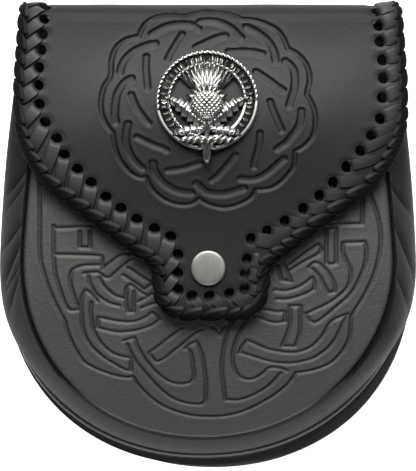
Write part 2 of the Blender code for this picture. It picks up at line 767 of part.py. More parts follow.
back = back_panel()
front = front_panel()
gusset()
welt()
flap()
flap_lace()
cut(front, snap())
badge()
loops_and_rivets(back)
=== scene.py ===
"""How the sporran pouch looks: tooled charcoal leather, a laced flap, a satin snap and a cast badge.

The pouch lies on its back. +X is the right as seen from the front, +Y runs up to the fold of the
flap and +Z comes out of the front. Sizes are in millimetres, and become metres when a mesh is set.
"""

import math

import bpy
import numpy as np
from mathutils import Matrix, Vector
from mathutils.kdtree import KDTree


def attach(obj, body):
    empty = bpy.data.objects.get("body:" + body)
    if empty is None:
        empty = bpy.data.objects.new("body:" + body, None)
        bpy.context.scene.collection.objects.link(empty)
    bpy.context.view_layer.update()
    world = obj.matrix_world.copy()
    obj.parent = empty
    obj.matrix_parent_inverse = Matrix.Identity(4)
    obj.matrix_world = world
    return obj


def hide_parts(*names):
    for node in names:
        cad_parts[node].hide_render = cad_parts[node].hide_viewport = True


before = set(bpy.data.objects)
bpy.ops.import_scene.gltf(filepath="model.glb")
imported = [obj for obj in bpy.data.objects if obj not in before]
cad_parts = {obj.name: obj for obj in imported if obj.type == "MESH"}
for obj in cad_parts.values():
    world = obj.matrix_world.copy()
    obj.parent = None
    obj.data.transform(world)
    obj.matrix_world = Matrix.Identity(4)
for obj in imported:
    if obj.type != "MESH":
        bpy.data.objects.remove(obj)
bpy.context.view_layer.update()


# ---- Front panel ---------------------------------------------------------------------------
# The front is one stiff piece of 2.4 mm saddle leather with a round bottom. Its knotwork is
# pressed in with a flat-ended tool while the leather is damp, then it is dyed, formed over a
# block and its edge rubbed round.

MM = 0.001
FRONT_T = 2.4
FRONT_PROFILE_Y = (-100.0, -85.0, -54.0, -25.0, 0.0, 40.0, 76.0, 110.0)
FRONT_PROFILE_Z = (36.4, 37.4, 38.8, 37.9, 35.7, 30.9, 26.2, 21.8)
SIDE_FALL = 3.0
SIDE_FALL_AT = 78.0
MOUTH_DIP = 5.0

# An outline: half width at its widest, that line's y, its bottom, how square it is below, and
# its half width and y at the top
FRONT_RIM = (78.9, -10.0, -85.5, 2.05, 70.5, 76.0)
SIDE_TAPER_POWER = 1.3
BOTTOM_LEAN = -2.2
LEAN_FROM_Y = -12.0
LEAN_OVER = 78.0

# Marks along each pressed line, from the chart of the front; a line turns sharply where its marks do
FRONT_CHART_SCALE = 0.9915
FRONT_LINE_WIDTH = 1.8
FRONT_LINES = (
    # the border down the left, in two sweeps
    ((-72.2, 24), (-72.2, 11), (-72.2, -5), (-71.7, -11.2), (-70, -17.3), (-68.1, -23), (-65.8, -28.4),
     (-63.5, -32.9), (-61.4, -36.7)),
    ((-61.4, -36.7), (-59.8, -42.4), (-57, -48.4), (-53.2, -54), (-48.7, -56.8), (-44.3, -58.6),
     (-39.9, -60), (-35.1, -60.8), (-32, -60.6)),
    # the border along the bottom
    ((-32, -60.6), (-30.7, -63), (-27.5, -66.7), (-24.3, -69.6), (-20.5, -72.4), (-15.6, -74.7),
     (-10.7, -76.3), (-5.8, -77.3), (0, -77.6), (5.1, -77.5), (10, -76.8), (15, -75.4), (20, -73.3),
     (24.5, -70.8), (27.8, -68.9), (31.2, -66.4), (34, -63.9), (36.2, -61.3), (37.6, -58.9)),
    # the border up the right, in two sweeps
    ((37.6, -58.9), (40.8, -58.5), (44.7, -57.8), (49.1, -56.4), (53, -54.4), (55.8, -51.8),
     (58.1, -48.9), (59.9, -45.5), (60.8, -42.6), (61, -38.6), (61.3, -35.2)),
    ((61.3, -35.2), (62.7, -32.6), (65, -29.1), (67.5, -24.9), (70.2, -19.5), (71.9, -14.7),
     (73.4, -8.7), (74.1, -2.6), (73.8, 3.3), (72.5, 9.3), (70.7, 14.7), (69, 19.5)),
    # the left side, from the corner in to the first crossings
    ((-66.3, 4), (-66.3, -7.5), (-66, -11.8), (-65.4, -17), (-63.9, -22), (-62.3, -26.5),
     (-60.7, -30.2), (-59.3, -32), (-57, -32.2), (-55.6, -31.9)),
    ((-55.6, -31), (-57, -27.1), (-58.3, -23.5), (-59, -20), (-58.9, -17.2), (-58, -15.2),
     (-56.2, -14), (-53.1, -13.1), (-49.8, -12.9), (-45, -12.8)),
    ((-66.2, 2.9), (-55.4, 3.4), (-50, 3.8)),
    ((-54.9, 1.5), (-54.9, -5.2), (-50.6, -5.4), (-50.6, 1.5)),
    ((-66.3, -8.3), (-54.3, -8.6), (-46, -9), (-45.4, -9.6), (-45.3, -14.8)),
    ((-52.9, -16.4), (-49.8, -16.1), (-46.8, -16.2), (-45, -17.6), (-42.6, -18.3), (-39.7, -16.3),
     (-36.9, -13.8), (-34, -11.5), (-31.9, -10.1)),
    ((-45, -14.6), (-42.2, -12.2), (-38.7, -9.6), (-36, -8.2), (-33.8, -7.9)),
    ((-51.3, -17.2), (-50.5, -20.7), (-48.2, -24.9), (-45.1, -27.5), (-41.7, -29.3), (-38.1, -30.2)),
    ((-46.5, -18.2), (-45.3, -20.8), (-43, -23.5), (-40.1, -25.8), (-36.2, -27)),
    # the long strand that hooks under the left ones
    ((-52.4, -23.6), (-53.8, -26.5), (-54.3, -30), (-54, -35.6), (-53.7, -39.6), (-52.1, -44),
     (-49.5, -48), (-46.7, -50.7), (-43.4, -53.2), (-40.1, -55.1), (-36.9, -57), (-34.6, -57.8),
     (-32.9, -58), (-32.9, -52.5)),
    ((-52.4, -23.6), (-49.9, -25.2), (-47.4, -28.2)),
    ((-49.9, -28.8), (-50.2, -32.7), (-49.7, -36.5), (-49.2, -40), (-46.9, -44.7), (-44, -48.1),
     (-40.6, -50.6), (-37.3, -51.8), (-33.3, -52.5)),
    # the small strands left of the tab
    ((-34.3, -32.8), (-34.8, -30), (-35, -26), (-34.6, -22.5), (-33.4, -21.2), (-31.6, -22.3),
     (-29.1, -24.2), (-26.3, -25.9)),
    ((-31.4, -24.2), (-31.9, -28.2), (-31.9, -32.8), (-34.3, -32.8)),
    ((-34.3, -14), (-31.2, -16), (-28.4, -17.9), (-25.5, -19.6), (-23.2, -21), (-25.4, -22),
     (-27.2, -23.5), (-30.1, -21.3), (-33.4, -19.1), (-36.4, -17.1)),
    ((-29.6, -28.5), (-26.5, -26.8), (-23.7, -25.2)),
    ((-28.2, -31.2), (-24.8, -29.8), (-22, -29)),
    ((-47.4, -39.6), (-46.9, -35.2), (-43.1, -36), (-38.7, -36.8), (-34.4, -37.2), (-30.6, -36.8),
     (-26.6, -35.1), (-24, -33.2), (-22.2, -34.4), (-20.6, -36), (-23.3, -38.2), (-26.1, -39.4),
     (-29.9, -40.6), (-34.4, -41.3), (-38.7, -41.5), (-43, -40.7), (-47.4, -39.6)),
    # the two strands that cross below the tab, and the loop on the left
    ((-11.2, -40), (-16.6, -44), (-22, -48.2), (-25.2, -50.4), (-23.5, -52.8), (-21.9, -54.3),
     (-18.6, -52.8), (-14.8, -49.8), (-10.5, -46.5), (-6.2, -42.8), (-2.5, -40.6)),
    ((-31.4, -44), (-33.5, -44.5), (-35.8, -45.2)),
    ((-34.6, -46.7), (-33, -50.5), (-30.3, -54.9), (-27.1, -58.6), (-24.3, -61.9), (-21.1, -65.2),
     (-17.3, -68.4), (-13.4, -70.6), (-9.4, -71.8), (-5.6, -72.3), (-2.6, -72.1), (-1.2, -70.6),
     (-0.9, -65), (-1, -61.8), (-1.5, -57.5), (-2.2, -52.6), (-3.2, -49.4), (-4.3, -46.6),
     (-5, -45.6), (-7.4, -46.6), (-9.5, -48.3)),
    ((-31.4, -44), (-30.3, -47.3), (-28.6, -50.5), (-25.9, -54.5), (-23.1, -57.7), (-19.8, -60.7),
     (-16.4, -62.7), (-12.5, -63.6), (-8.8, -63.3), (-6.7, -62.1), (-6, -60), (-6.3, -56.4),
     (-6.8, -52.7), (-7.9, -49.5), (-9, -48.3)),
    ((1.9, -39.4), (5.05, -43), (7.6, -38.9)),
    # the right side
    ((66.3, 19), (66.3, 4.8), (53, 4.6)),
    ((50.7, 2.8), (50.7, -12), (52.8, -12.6), (54.9, -12), (54.9, 2.8), (50.7, 2.8)),
    ((58.2, -3.3), (67.2, -3), (67.9, -6), (67.4, -12.3), (65.6, -17.2), (63.3, -22), (60.2, -26.3),
     (56, -29.9), (51.8, -33.4), (47.7, -36.6), (45.5, -37.6), (43.3, -36.3), (41.8, -33.5)),
    ((58, -3.3), (57.8, -7.4), (59.2, -11), (60.9, -14.7), (61, -18.8), (59.6, -22.6), (56.6, -25.7),
     (52.4, -28.8), (47.6, -31.2), (42.6, -33.5)),
    ((28.6, -23.5), (33.2, -23.8), (38.1, -22.6), (41.8, -20.5), (44.7, -18.2), (45.6, -20.5),
     (45.3, -23.2), (41.6, -25.2), (37.3, -26.7), (33.1, -27.5), (29.4, -27.3)),
    ((43.2, -13.8), (45.5, -11.8), (47.5, -12.3), (50.3, -14.8), (52.7, -18), (54.1, -21.3),
     (54.2, -24.2), (51.6, -24.8), (50, -21.9), (47.9, -18.1), (45.2, -15.1), (43.2, -13.8)),
    ((35.2, -12.6), (41.2, -8.1), (47.2, -4.1), (48.2, -5.5), (47.6, -7.9), (41.5, -11.2),
     (35.4, -15)),
    ((29.7, -12.9), (31.5, -19.2), (35.3, -19.9), (34.1, -16), (32.3, -12)),
    ((21, -31.6), (26, -32.2), (29, -32.8), (32.8, -32.7), (33, -37), (28.5, -37.4), (25, -36.5),
     (20.2, -34.6)),
    ((31.8, -47.4), (33.8, -42.4), (35.1, -38.5), (35.1, -30.3), (39.6, -30.3), (39.5, -36),
     (39.4, -41.3), (38.4, -44.8), (37.3, -47.6), (31.8, -47.4)),
    # the crescent under the right side
    ((16.8, -45), (20.4, -46.6), (24.9, -48.5), (29.4, -49.6), (34.4, -50.2), (39, -49.9),
     (43.7, -48.1), (47.1, -45.3), (49.9, -41.8), (51.6, -38.5), (53.5, -36.5), (56.7, -35),
     (59.8, -33.9)),
    ((16.8, -45), (14.6, -47.7), (13.4, -50.2), (15.3, -50.6), (19.4, -51.9), (23.8, -53.3),
     (28.8, -54.4), (34.4, -54.8), (39.5, -54.2), (44.7, -52.8), (48.7, -50.5), (52, -47.7),
     (54.8, -44), (56.5, -40.6), (58.1, -37.3), (59.8, -33.9)),
    # the loop on the right of the middle
    ((10.4, -35.8), (9, -39.7), (7.6, -44.6), (6.6, -49.5), (6, -55), (6.1, -60.5), (6.7, -65),
     (7.1, -68.3), (7.6, -70.4), (13, -70.5), (17.6, -69.2), (21.6, -67.3), (25.5, -64.9),
     (28.3, -62.3), (31.1, -59)),
    ((16.6, -35.6), (14.4, -39.8), (12.6, -43.5), (11.4, -46.8), (10.7, -49.8), (10.5, -52.2),
     (10.9, -55.8), (12.6, -59.5), (15.1, -61.3), (18, -61.7), (20.9, -60.9), (23.9, -58.8),
     (25.9, -57), (28.1, -56.6), (31.7, -57.2), (33.8, -58)),
)


def smooth(t):
    """A soft step from 0 to 1."""
    t = np.clip(t, 0.0, 1.0)
    return t * t * (3.0 - 2.0 * t)


def hill(value, middle, width):
    """A soft hill, 1 at its middle."""
    return np.exp(-((value - middle) / width) ** 2)


def curve(t, start, end, leaving, arriving):
    """A smooth curve from start to end, with its way and speed at each of them."""
    return ((2 * t**3 - 3 * t**2 + 1) * start + (t**3 - 2 * t**2 + t) * leaving
            + (3 * t**2 - 2 * t**3) * end + (t**3 - t**2) * arriving)


def along(xs, ys, where):
    """A smooth line through marks (xs, ys), read at where."""
    xs = np.array(xs)
    ys = np.array(ys)
    i = np.clip(np.searchsorted(xs, where) - 1, 0, len(xs) - 2)
    slopes = np.empty(len(xs))
    slopes[1:-1] = (ys[2:] - ys[:-2]) / (xs[2:] - xs[:-2])
    slopes[0] = (ys[1] - ys[0]) / (xs[1] - xs[0])
    slopes[-1] = (ys[-1] - ys[-2]) / (xs[-1] - xs[-2])
    span = xs[i + 1] - xs[i]
    return curve((where - xs[i]) / span, ys[i], ys[i + 1], span * slopes[i], span * slopes[i + 1])


def front_height(x, y):
    """The outer face of the front, also carried on past its edge."""
    return along(FRONT_PROFILE_Y, FRONT_PROFILE_Z, y) - SIDE_FALL * (x / SIDE_FALL_AT) ** 2


def lean(y):
    """How far the pouch sags to one side towards its bottom."""
    return BOTTOM_LEAN * smooth((LEAN_FROM_Y - y) / LEAN_OVER)


OUTLINE_POINTS = 1600
SIDE_POINTS = 300
ROUND_POINTS = 1201


def outline(rim):
    """An outline from the left end of the mouth down and round to the right end, evenly spaced."""
    half, widest, bottom, power, top_half, top = rim
    rise = np.linspace(1.0, 0.0, SIDE_POINTS)
    side_x = half - (half - top_half) * rise**SIDE_TAPER_POWER
    side_y = widest + rise * (top - widest)
    angle = np.linspace(0.0, math.pi, ROUND_POINTS)[1:-1]
    round_x = -np.sign(np.cos(angle)) * np.abs(np.cos(angle)) ** (2 / power) * half
    round_y = widest - np.sin(angle) ** (2 / power) * (widest - bottom)
    x = np.concatenate([-side_x, round_x, side_x[::-1]])
    y = np.concatenate([side_y, round_y, side_y[::-1]])
    x = x + lean(y)
    run = np.concatenate([[0.0], np.cumsum(np.hypot(np.diff(x), np.diff(y)))])
    even = np.linspace(0.0, run[-1], OUTLINE_POINTS)
    return np.stack([np.interp(even, run, x), np.interp(even, run, y)], axis=1)


MARK_STEP = 0.15
SHARPEST_CURVE = 0.62


def drawn(marks):
    """The line a tool follows through its marks, as closely spaced points. It turns a corner at a
    mark where it turns by more than about 52 degrees."""
    marks = np.array(marks, float)
    runs = np.diff(marks, axis=0)
    lengths = np.linalg.norm(runs, axis=1)
    ways = runs / lengths[:, None]
    leaving = np.concatenate([ways, ways[-1:]])
    arriving = np.concatenate([ways[:1], ways])
    straight = np.concatenate([[False], (ways[:-1] * ways[1:]).sum(axis=1) > SHARPEST_CURVE, [False]])
    through = np.zeros_like(marks)
    through[1:-1] = (marks[2:] - marks[:-2]) / (lengths[1:] + lengths[:-1])[:, None]
    leaving[straight] = through[straight]
    arriving[straight] = through[straight]
    points = [marks[-1:]]
    for i, length in enumerate(lengths):
        t = np.arange(0.0, 1.0, MARK_STEP / length)[:, None]
        points.append(curve(t, marks[i], marks[i + 1], length * leaving[i], length * arriving[i + 1]))
    return np.concatenate(points)


FAR_OFF = 99.0


def distance_to(points, x, y, among=None):
    """How far each (x, y) lies from the nearest of points, and which point that is. Places that
    aren't among those asked for count as far off."""
    tree = KDTree(len(points))
    for i, (px, py) in enumerate(points):
        tree.insert((px, py, 0.0), i)
    tree.balance()
    far = np.full(len(x), FAR_OFF)
    which = np.zeros(len(x), int)
    for i in (range(len(x)) if among is None else np.flatnonzero(among)):
        _, which[i], far[i] = tree.find((x[i], y[i], 0.0))
    return far, which


def named(piece, name):
    """Gives a piece and its mesh one name."""
    piece.name = name
    piece.data.name = name
    return piece


def choose(*pieces):
    """Selects these pieces and no others, and makes the first one active."""
    bpy.ops.object.select_all(action="DESELECT")
    for piece in pieces:
        piece.select_set(True)
    if pieces:
        bpy.context.view_layer.objects.active = pieces[0]


def leather_blank(name, columns, rows, cuts=0):
    """A flat slab of leather that is finer on its grain side. x and y count the fine cells, and
    z is 1 on the grain side and 0 on the flesh side."""
    choose()
    bpy.ops.mesh.primitive_grid_add(x_subdivisions=columns, y_subdivisions=rows, size=1.0,
                                    location=(0.5, 0.5, 1.0))
    blank = named(bpy.context.object, name)
    fine = cuts + 1
    bpy.ops.transform.resize(value=(columns * fine, rows * fine, 1.0))
    blank.location = (columns * fine / 2, rows * fine / 2, 1.0)
    bpy.ops.object.transform_apply()
    wall = blank.modifiers.new("wall", "SOLIDIFY")
    wall.thickness = 1.0
    wall.offset = -1.0
    bpy.ops.object.modifier_apply(modifier="wall")
    if cuts:
        blank.data.polygons.foreach_set(
            "select", [face.normal.z > 0.5 for face in blank.data.polygons])
        bpy.ops.object.mode_set(mode="EDIT")
        bpy.context.tool_settings.mesh_select_mode = (False, False, True)
        bpy.ops.mesh.subdivide(number_cuts=cuts)
        bpy.ops.object.mode_set(mode="OBJECT")
    return blank


def places(piece):
    """The x, y and z of every vertex."""
    flat = np.empty(len(piece.data.vertices) * 3)
    piece.data.vertices.foreach_get("co", flat)
    return flat.reshape(-1, 3).T


def put(piece, x, y, z):
    """Sets every vertex, in millimetres."""
    piece.data.vertices.foreach_set("co", (np.stack([x, y, z], axis=1) * MM).ravel())
    piece.data.update()


def note(piece, name, values):
    """Keeps a number for each vertex, or one for all, for the piece's material."""
    layer = piece.data.attributes.new(name, "FLOAT", "POINT")
    layer.data.foreach_set("value", np.full(len(layer.data), values, float))


def shares(cells, *spans):
    """Where numbered cells lie along a line of spans of (from, to, how many cells)."""
    line = [spans[0][0]]
    for start, end, count in spans:
        line.extend(np.linspace(start, end, count + 1)[1:])
    return np.interp(cells, np.arange(len(line)), line)


def rolled(inward, radius):
    """How far a rounded edge has fallen at a distance inward from the outline."""
    short = np.clip(radius - inward, 0.0, radius)
    return radius - np.sqrt(radius**2 - short**2)


def patch(rim, u, t, split, dip):
    """A grid (u across, t up) laid smoothly into an outline. split is where along the outline its
    bottom side starts, and dip the hollow of its top side."""
    line = outline(rim)
    run = np.linspace(0.0, 1.0, len(line))

    def at(share):
        """The point of the outline at a share of its length."""
        return np.stack([np.interp(share, run, line[:, 0]), np.interp(share, run, line[:, 1])], axis=-1)

    bottom = at(split + u * (1 - 2 * split))
    left = at(split * (1 - t))
    right = at(1 - split * (1 - t))
    top = line[0] + (line[-1] - line[0]) * u[:, None]
    top[:, 1] -= dip * smooth(np.sin(math.pi * u))
    corner = [at(split), at(1 - split), line[0], line[-1]]
    u = u[:, None]
    t = t[:, None]
    return ((1 - t) * bottom + t * top + (1 - u) * left + u * right
            - (1 - u) * (1 - t) * corner[0] - u * (1 - t) * corner[1]
            - (1 - u) * t * corner[2] - u * t * corner[3]).T


CUT_WIDTH = 0.32
BEVEL_SHARE = 1.35
BURN_SHADE_INSET = 0.28
BURN_SHADE_WIDTH = 0.44


def pressed(lines, x, y, among):
    """How deeply each point is pressed by tooled lines of (width, points), 0 to 1, how far it lies
    outside the nearest line's edge, and how dark it is painted there: partly the tool's burn,
    mostly painted shade along the line's edge, strongest on its upper side. Each line is cut
    steeply along its upper side, and bevelled away from the cut towards its lower side."""
    widths = np.concatenate([np.full(len(points), width) for width, points in lines])
    marks = np.concatenate([points for _, points in lines])
    far, which = distance_to(marks, x, y, among)
    half = widths[which] / 2
    outside = far - half
    over = (y - marks[which, 1]) / np.maximum(far, 0.05)
    bevel = CUT_WIDTH + (BEVEL_SHARE - CUT_WIDTH) * half * np.clip(0.15 - over, 0.0, 1.0)
    depth = 1.0 - smooth((outside + bevel - CUT_WIDTH / 2) / bevel)
    # painted shade along the edge of each line, darker on its upper side, away from the light; some of it
    # is the tool's burn
    burn_and_shade = hill(outside, -BURN_SHADE_INSET, BURN_SHADE_WIDTH) * np.clip(0.65 + 0.5 * over, 0.12, 1.0)
    return depth, outside, 0.2 * depth + 0.8 * burn_and_shade


ACROSS_SPLIT = 0.36
FRONT_PRESS_DEPTH = 0.37
FRONT_CREASE_SHADE = 0.9
TOOLED_BELOW_Y = 28.0
LIP_HEIGHT = 0.05
BOTTOM_FROM_Y = -60.0
BOTTOM_OVER = 16.0
BOTTOM_RIDGE = 0.2
PUCKER_DEPTH = 0.35
PUCKER_FROM_Y = 8.0

front_panel = leather_blank("front_panel_leather", 82, 63, 3)
across, up, grain_side = places(front_panel)
# the cells are fine round the rim and where the knotwork is, and coarse under the flap
u = shares(across, (0.0, 0.022, 10), (0.022, 0.978, 308), (0.978, 1.0, 10))
t = shares(up, (0.0, 0.02, 8), (0.02, 0.66, 228), (0.66, 1.0, 16))
x, y = patch(FRONT_RIM, u, t, ACROSS_SPLIT, MOUTH_DIP)
on_top = grain_side > 0.5
edge_far, _ = distance_to(outline(FRONT_RIM), x, y, on_top)
front_lines = [(FRONT_LINE_WIDTH, drawn(np.array(marks) * FRONT_CHART_SCALE)) for marks in FRONT_LINES]
press, outside, burn_and_shade = pressed(front_lines, x, y, on_top & (y < TOOLED_BELOW_Y))
lip = LIP_HEIGHT * hill(outside, 0.7, 0.8)
ripple = (0.14 * np.sin(x / 11.0 + 1.3 * np.sin(y / 17.0)) * np.sin(y / 13.0 + 0.8)
          + 0.05 * np.sin(x / 4.3 + y / 6.1))
# two small wrinkles in its upper left corner
pucker = PUCKER_DEPTH * smooth((y - PUCKER_FROM_Y) / 6.0) * (
    hill(x, -69.0, 0.9) + 0.7 * hill(x, -66.4, 0.7))
# its edge is round down the sides, and sharp with a fine ridge along the bottom
low = smooth((BOTTOM_FROM_Y - y) / BOTTOM_OVER)
edge_round = 1.0 - 0.97 * low
ridge = BOTTOM_RIDGE * low * hill(edge_far, 0.0, 0.55)
lift = np.where(on_top, lip + ridge - FRONT_PRESS_DEPTH * press + ripple - pucker
                - edge_round * rolled(edge_far / edge_round, 1.0), -FRONT_T)
put(front_panel, x, y, front_height(x, y) + lift)
# painted shade in the crease between the front's edge and the gusset down the sides
crease_shade = (1.0 - low) * hill(edge_far, 0.0, 1.3)
note(front_panel, "press", np.where(on_top, np.maximum(burn_and_shade, FRONT_CREASE_SHADE * crease_shade), 0.0))
note(front_panel, "edge", np.where(on_top, hill(edge_far, 0.0, 2.2), 1.0))


def new_group(name, **inputs):
    """A shader group with named number inputs, and with a tone, a gloss and a height to put out."""
    group = bpy.data.node_groups.new(name, "ShaderNodeTree")
    group.interface.new_socket("Vector", in_out="INPUT", socket_type="NodeSocketVector")
    for label, value in inputs.items():
        socket = group.interface.new_socket(label, in_out="INPUT", socket_type="NodeSocketFloat")
        socket.default_value = value
    for label in ("Tone", "Gloss", "Height"):
        group.interface.new_socket(label, in_out="OUTPUT", socket_type="NodeSocketFloat")
    return group, group.nodes.new("NodeGroupInput").outputs


def put_out(group, **values):
    """Links a group's results to its outputs."""
    out = group.nodes.new("NodeGroupOutput")
    for label, value in values.items():
        group.links.new(value, out.inputs[label])


def node(tree, kind, settings=(), **links):
    """A shader node with its settings made and its inputs given as numbers or linked."""
    made = tree.nodes.new(kind)
    for label, value in dict(settings).items():
        setattr(made, label, value)
    for label, value in links.items():
        key = int(label[1:]) if label[1:].isdigit() else label.replace("_", " ")
        if isinstance(value, bpy.types.NodeSocket):
            tree.links.new(value, made.inputs[key])
        else:
            made.inputs[key].default_value = value
    return made


def maths(tree, operation, *values, clamp=False):
    """The result of a sum done by the shader, of numbers and links."""
    numbered = {f"_{i}": value for i, value in enumerate(values)}
    return node(tree, "ShaderNodeMath", {"operation": operation, "use_clamp": clamp}, **numbered).outputs[0]


def weighted(tree, *terms, clamp=False):
    """The sum of terms of (value, weight)."""
    total = 0.0
    for value, weight in terms[:-1]:
        total = maths(tree, "MULTIPLY_ADD", value, weight, total)
    return maths(tree, "MULTIPLY_ADD", *terms[-1], total, clamp=clamp)


def noise(tree, where, scale, detail, rough=0.5):
    """A cloudy value from 0 to 1, with so many clouds to a metre."""
    return node(tree, "ShaderNodeTexNoise", Vector=where, Scale=scale, Detail=detail,
                Roughness=rough).outputs["Fac"]


def leather_grain_group():
    """Leather's fine pebble, its pores and the cloudy uptake of its dye."""
    group, given = new_group("leather_grain", Pebble=1.0, Cloud=1.0, Press=0.0, Edge=0.0)
    where = given["Vector"]
    warp = node(group, "ShaderNodeTexNoise", Vector=where, Scale=310.0, Detail=2.0)
    bent = node(group, "ShaderNodeVectorMath", {"operation": "MULTIPLY_ADD"}, _0=warp.outputs["Color"],
                _1=(0.0009, 0.0009, 0.0009), _2=where).outputs[0]
    pebble = node(group, "ShaderNodeTexVoronoi", {"feature": "SMOOTH_F1"}, Vector=bent, Scale=1150.0,
                  Smoothness=0.55).outputs["Distance"]
    fine = noise(group, where, 2600.0, 3.0, 0.6)
    soft = noise(group, where, 420.0, 3.0, 0.55)
    cloud = noise(group, where, 38.0, 4.0, 0.62)
    drift = noise(group, where, 11.0, 2.0)
    grain = weighted(group, (pebble, -0.55), (fine, 0.5), (soft, 0.8))
    uneven = maths(group, "SUBTRACT", weighted(group, (cloud, 0.6), (drift, 0.4)), 0.5)
    tone = maths(group, "MULTIPLY_ADD", uneven, given["Cloud"], 0.5)
    # the input that carries painted shade darkens and dulls the tone, and lightens it where it is below 0,
    # as painted light
    tone = weighted(group, (tone, 1.0), (fine, 0.08), (given["Press"], -0.4), (given["Edge"], 0.12),
                    clamp=True)
    gloss = weighted(group, (soft, 0.5), (cloud, 0.5), (given["Press"], 1.2), (given["Edge"], -0.2))
    put_out(group, Tone=tone, Gloss=gloss, Height=maths(group, "MULTIPLY", grain, given["Pebble"]))
    return group


LEATHER_GRAIN = leather_grain_group()


def blank_material(name):
    """A material with only its shader, and the shader tree to fill."""
    made = bpy.data.materials.new(name)
    made.use_nodes = True
    tree = made.node_tree
    return made, tree, tree.nodes["Principled BSDF"]


def tinted(tree, tone, dark, light):
    """A colour between two, by a tone."""
    return node(tree, "ShaderNodeMix", {"data_type": "RGBA"}, _0=tone, _6=(*dark, 1.0),
                _7=(*light, 1.0)).outputs[2]


def dimmed(tree, colour, left):
    """A colour of which only a share is left."""
    return node(tree, "ShaderNodeVectorMath", {"operation": "SCALE"}, _0=colour, Scale=left).outputs[0]


def bumped(tree, height, depth):
    """The normal of a surface that rises by a height of 1 as far as this depth in millimetres."""
    return node(tree, "ShaderNodeBump", Strength=1.0, Distance=depth * MM, Height=height).outputs[0]


def noted(tree, name):
    """A number that the piece keeps for each of its vertices."""
    return node(tree, "ShaderNodeAttribute", {"attribute_name": name}).outputs["Fac"]


SHADE_AND_BURN_DARKER = 0.9
WAX_SHARE = 1.4
BARE_SHARE = 0.3


def leather(name, dark, light, rough_low, rough_high, pebble=1.0, depth=0.26, specular=0.35):
    """A dyed leather: its two tones, how dull it is and how deep its grain (in millimetres) lies."""
    made, tree, shader = blank_material(name)
    # painted shade in creases, folds, grooves and on the lace's shaded sides, with some of the tool's burn;
    # below 0 it is painted light
    press = noted(tree, "press")
    grain = node(tree, "ShaderNodeGroup", {"node_tree": LEATHER_GRAIN}, Pebble=pebble, Press=press,
                 Edge=noted(tree, "edge"),
                 Vector=node(tree, "ShaderNodeTexCoord").outputs["Object"]).outputs
    left = maths(tree, "SUBTRACT", 1.0, maths(tree, "MULTIPLY", press, SHADE_AND_BURN_DARKER), clamp=True)
    rough = node(tree, "ShaderNodeMapRange", {"clamp": False}, Value=grain["Gloss"], From_Min=0.2,
                 From_Max=0.9, To_Min=rough_low, To_Max=rough_high).outputs[0]
    bump = bumped(tree, grain["Height"], depth)
    # most of its sheen is a wax finish, which is taken away where the tool has burnt it and where shade is
    # painted, so that these places stay dark
    wax = maths(tree, "MULTIPLY", maths(tree, "SUBTRACT", 1.0, press, clamp=True), WAX_SHARE * specular)
    for label, value in (("Base Color", dimmed(tree, tinted(tree, grain["Tone"], dark, light), left)),
                         ("Roughness", rough), ("Normal", bump), ("Coat Weight", wax)):
        tree.links.new(value, shader.inputs[label])
    shader.inputs["Coat Roughness"].default_value = (rough_low + rough_high) / 2
    shader.inputs["Specular IOR Level"].default_value = BARE_SHARE * specular
    return made


SHARP_FROM = 48.0


def finish(piece, material, slot, *nodes):
    """Gives a piece its material, its shading and its place in the frame."""
    piece.data.materials.clear()
    piece.data.materials.append(material)
    choose(piece)
    bpy.ops.object.shade_smooth_by_angle(angle=math.radians(SHARP_FROM))
    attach(piece, "root")
    if nodes:
        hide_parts(*nodes)


FRONT_LEATHER = leather("front_leather", (0.0166, 0.0168, 0.0165), (0.0332, 0.0336, 0.0322), 0.40, 0.56,
                       depth=0.32, specular=0.44)
finish(front_panel, FRONT_LEATHER, "body_leather", "front_panel")


# ---- Back panel ----------------------------------------------------------------------------
# The back is a flat piece of the same leather, a little larger than the front all round, so
# that the gusset can be stitched down on its rim. Above the middle it is lifted by the feet
# of the hanger loops.

BACK_T = 2.4
BACK_LIFT = 6.9
LIFT_TO = 40.0
BACK_RIM = (88.8, -12.0, -100.6, 2.1, 80.4, 80.0)
BACK_TOP_Y = 94.0
BACK_TOP_HALF, BACK_TOP_RIM_Y = BACK_RIM[4:]
BACK_RISE_FROM_Y = 30.0
BACK_CORNER_X = 66.0
BACK_CORNER_POWER = 2.2
BACK_EDGE_WEAR_AND_LIGHT = 2.0


def back_height(y):
    """The lower face of the back panel."""
    return BACK_LIFT * smooth(y / LIFT_TO)


back_panel = leather_blank("back_panel_leather", 60, 50, 1)
across, up, grain_side = places(back_panel)
u = shares(across, (0.0, 0.03, 5), (0.03, 0.97, 110), (0.97, 1.0, 5))
t = shares(up, (0.0, 0.03, 5), (0.03, 0.98, 90), (0.98, 1.0, 5))
x, y = patch(BACK_RIM, u, t, ACROSS_SPLIT, 0.0)
# its top edge is carried up over the hanger loops between two rounded corners
rise = smooth((y - BACK_RISE_FROM_Y) / (BACK_TOP_RIM_Y - BACK_RISE_FROM_Y))
corner = np.clip((np.abs(x) - BACK_CORNER_X) / (BACK_TOP_HALF - BACK_CORNER_X), 0.0, 1.0)
y = y + rise * (BACK_TOP_Y - BACK_TOP_RIM_Y) * (1 - corner**BACK_CORNER_POWER)
on_edge = np.minimum(np.minimum(u, 1 - u), np.minimum(t, 1 - t)) < 1e-6
edge_far, _ = distance_to(np.stack([x, y], axis=1)[on_edge], x, y)
put(back_panel, -x, y, back_height(y) + np.where(
    grain_side > 0.5, rolled(edge_far, 1.0), BACK_T - rolled(edge_far, 0.7)))
note(back_panel, "press", 0.0)
# its rim is rubbed lighter, and made lighter still as painted light, since it lies in the shadow of the
# gusset
note(back_panel, "edge", BACK_EDGE_WEAR_AND_LIGHT * hill(edge_far, 0.0, 2.0))
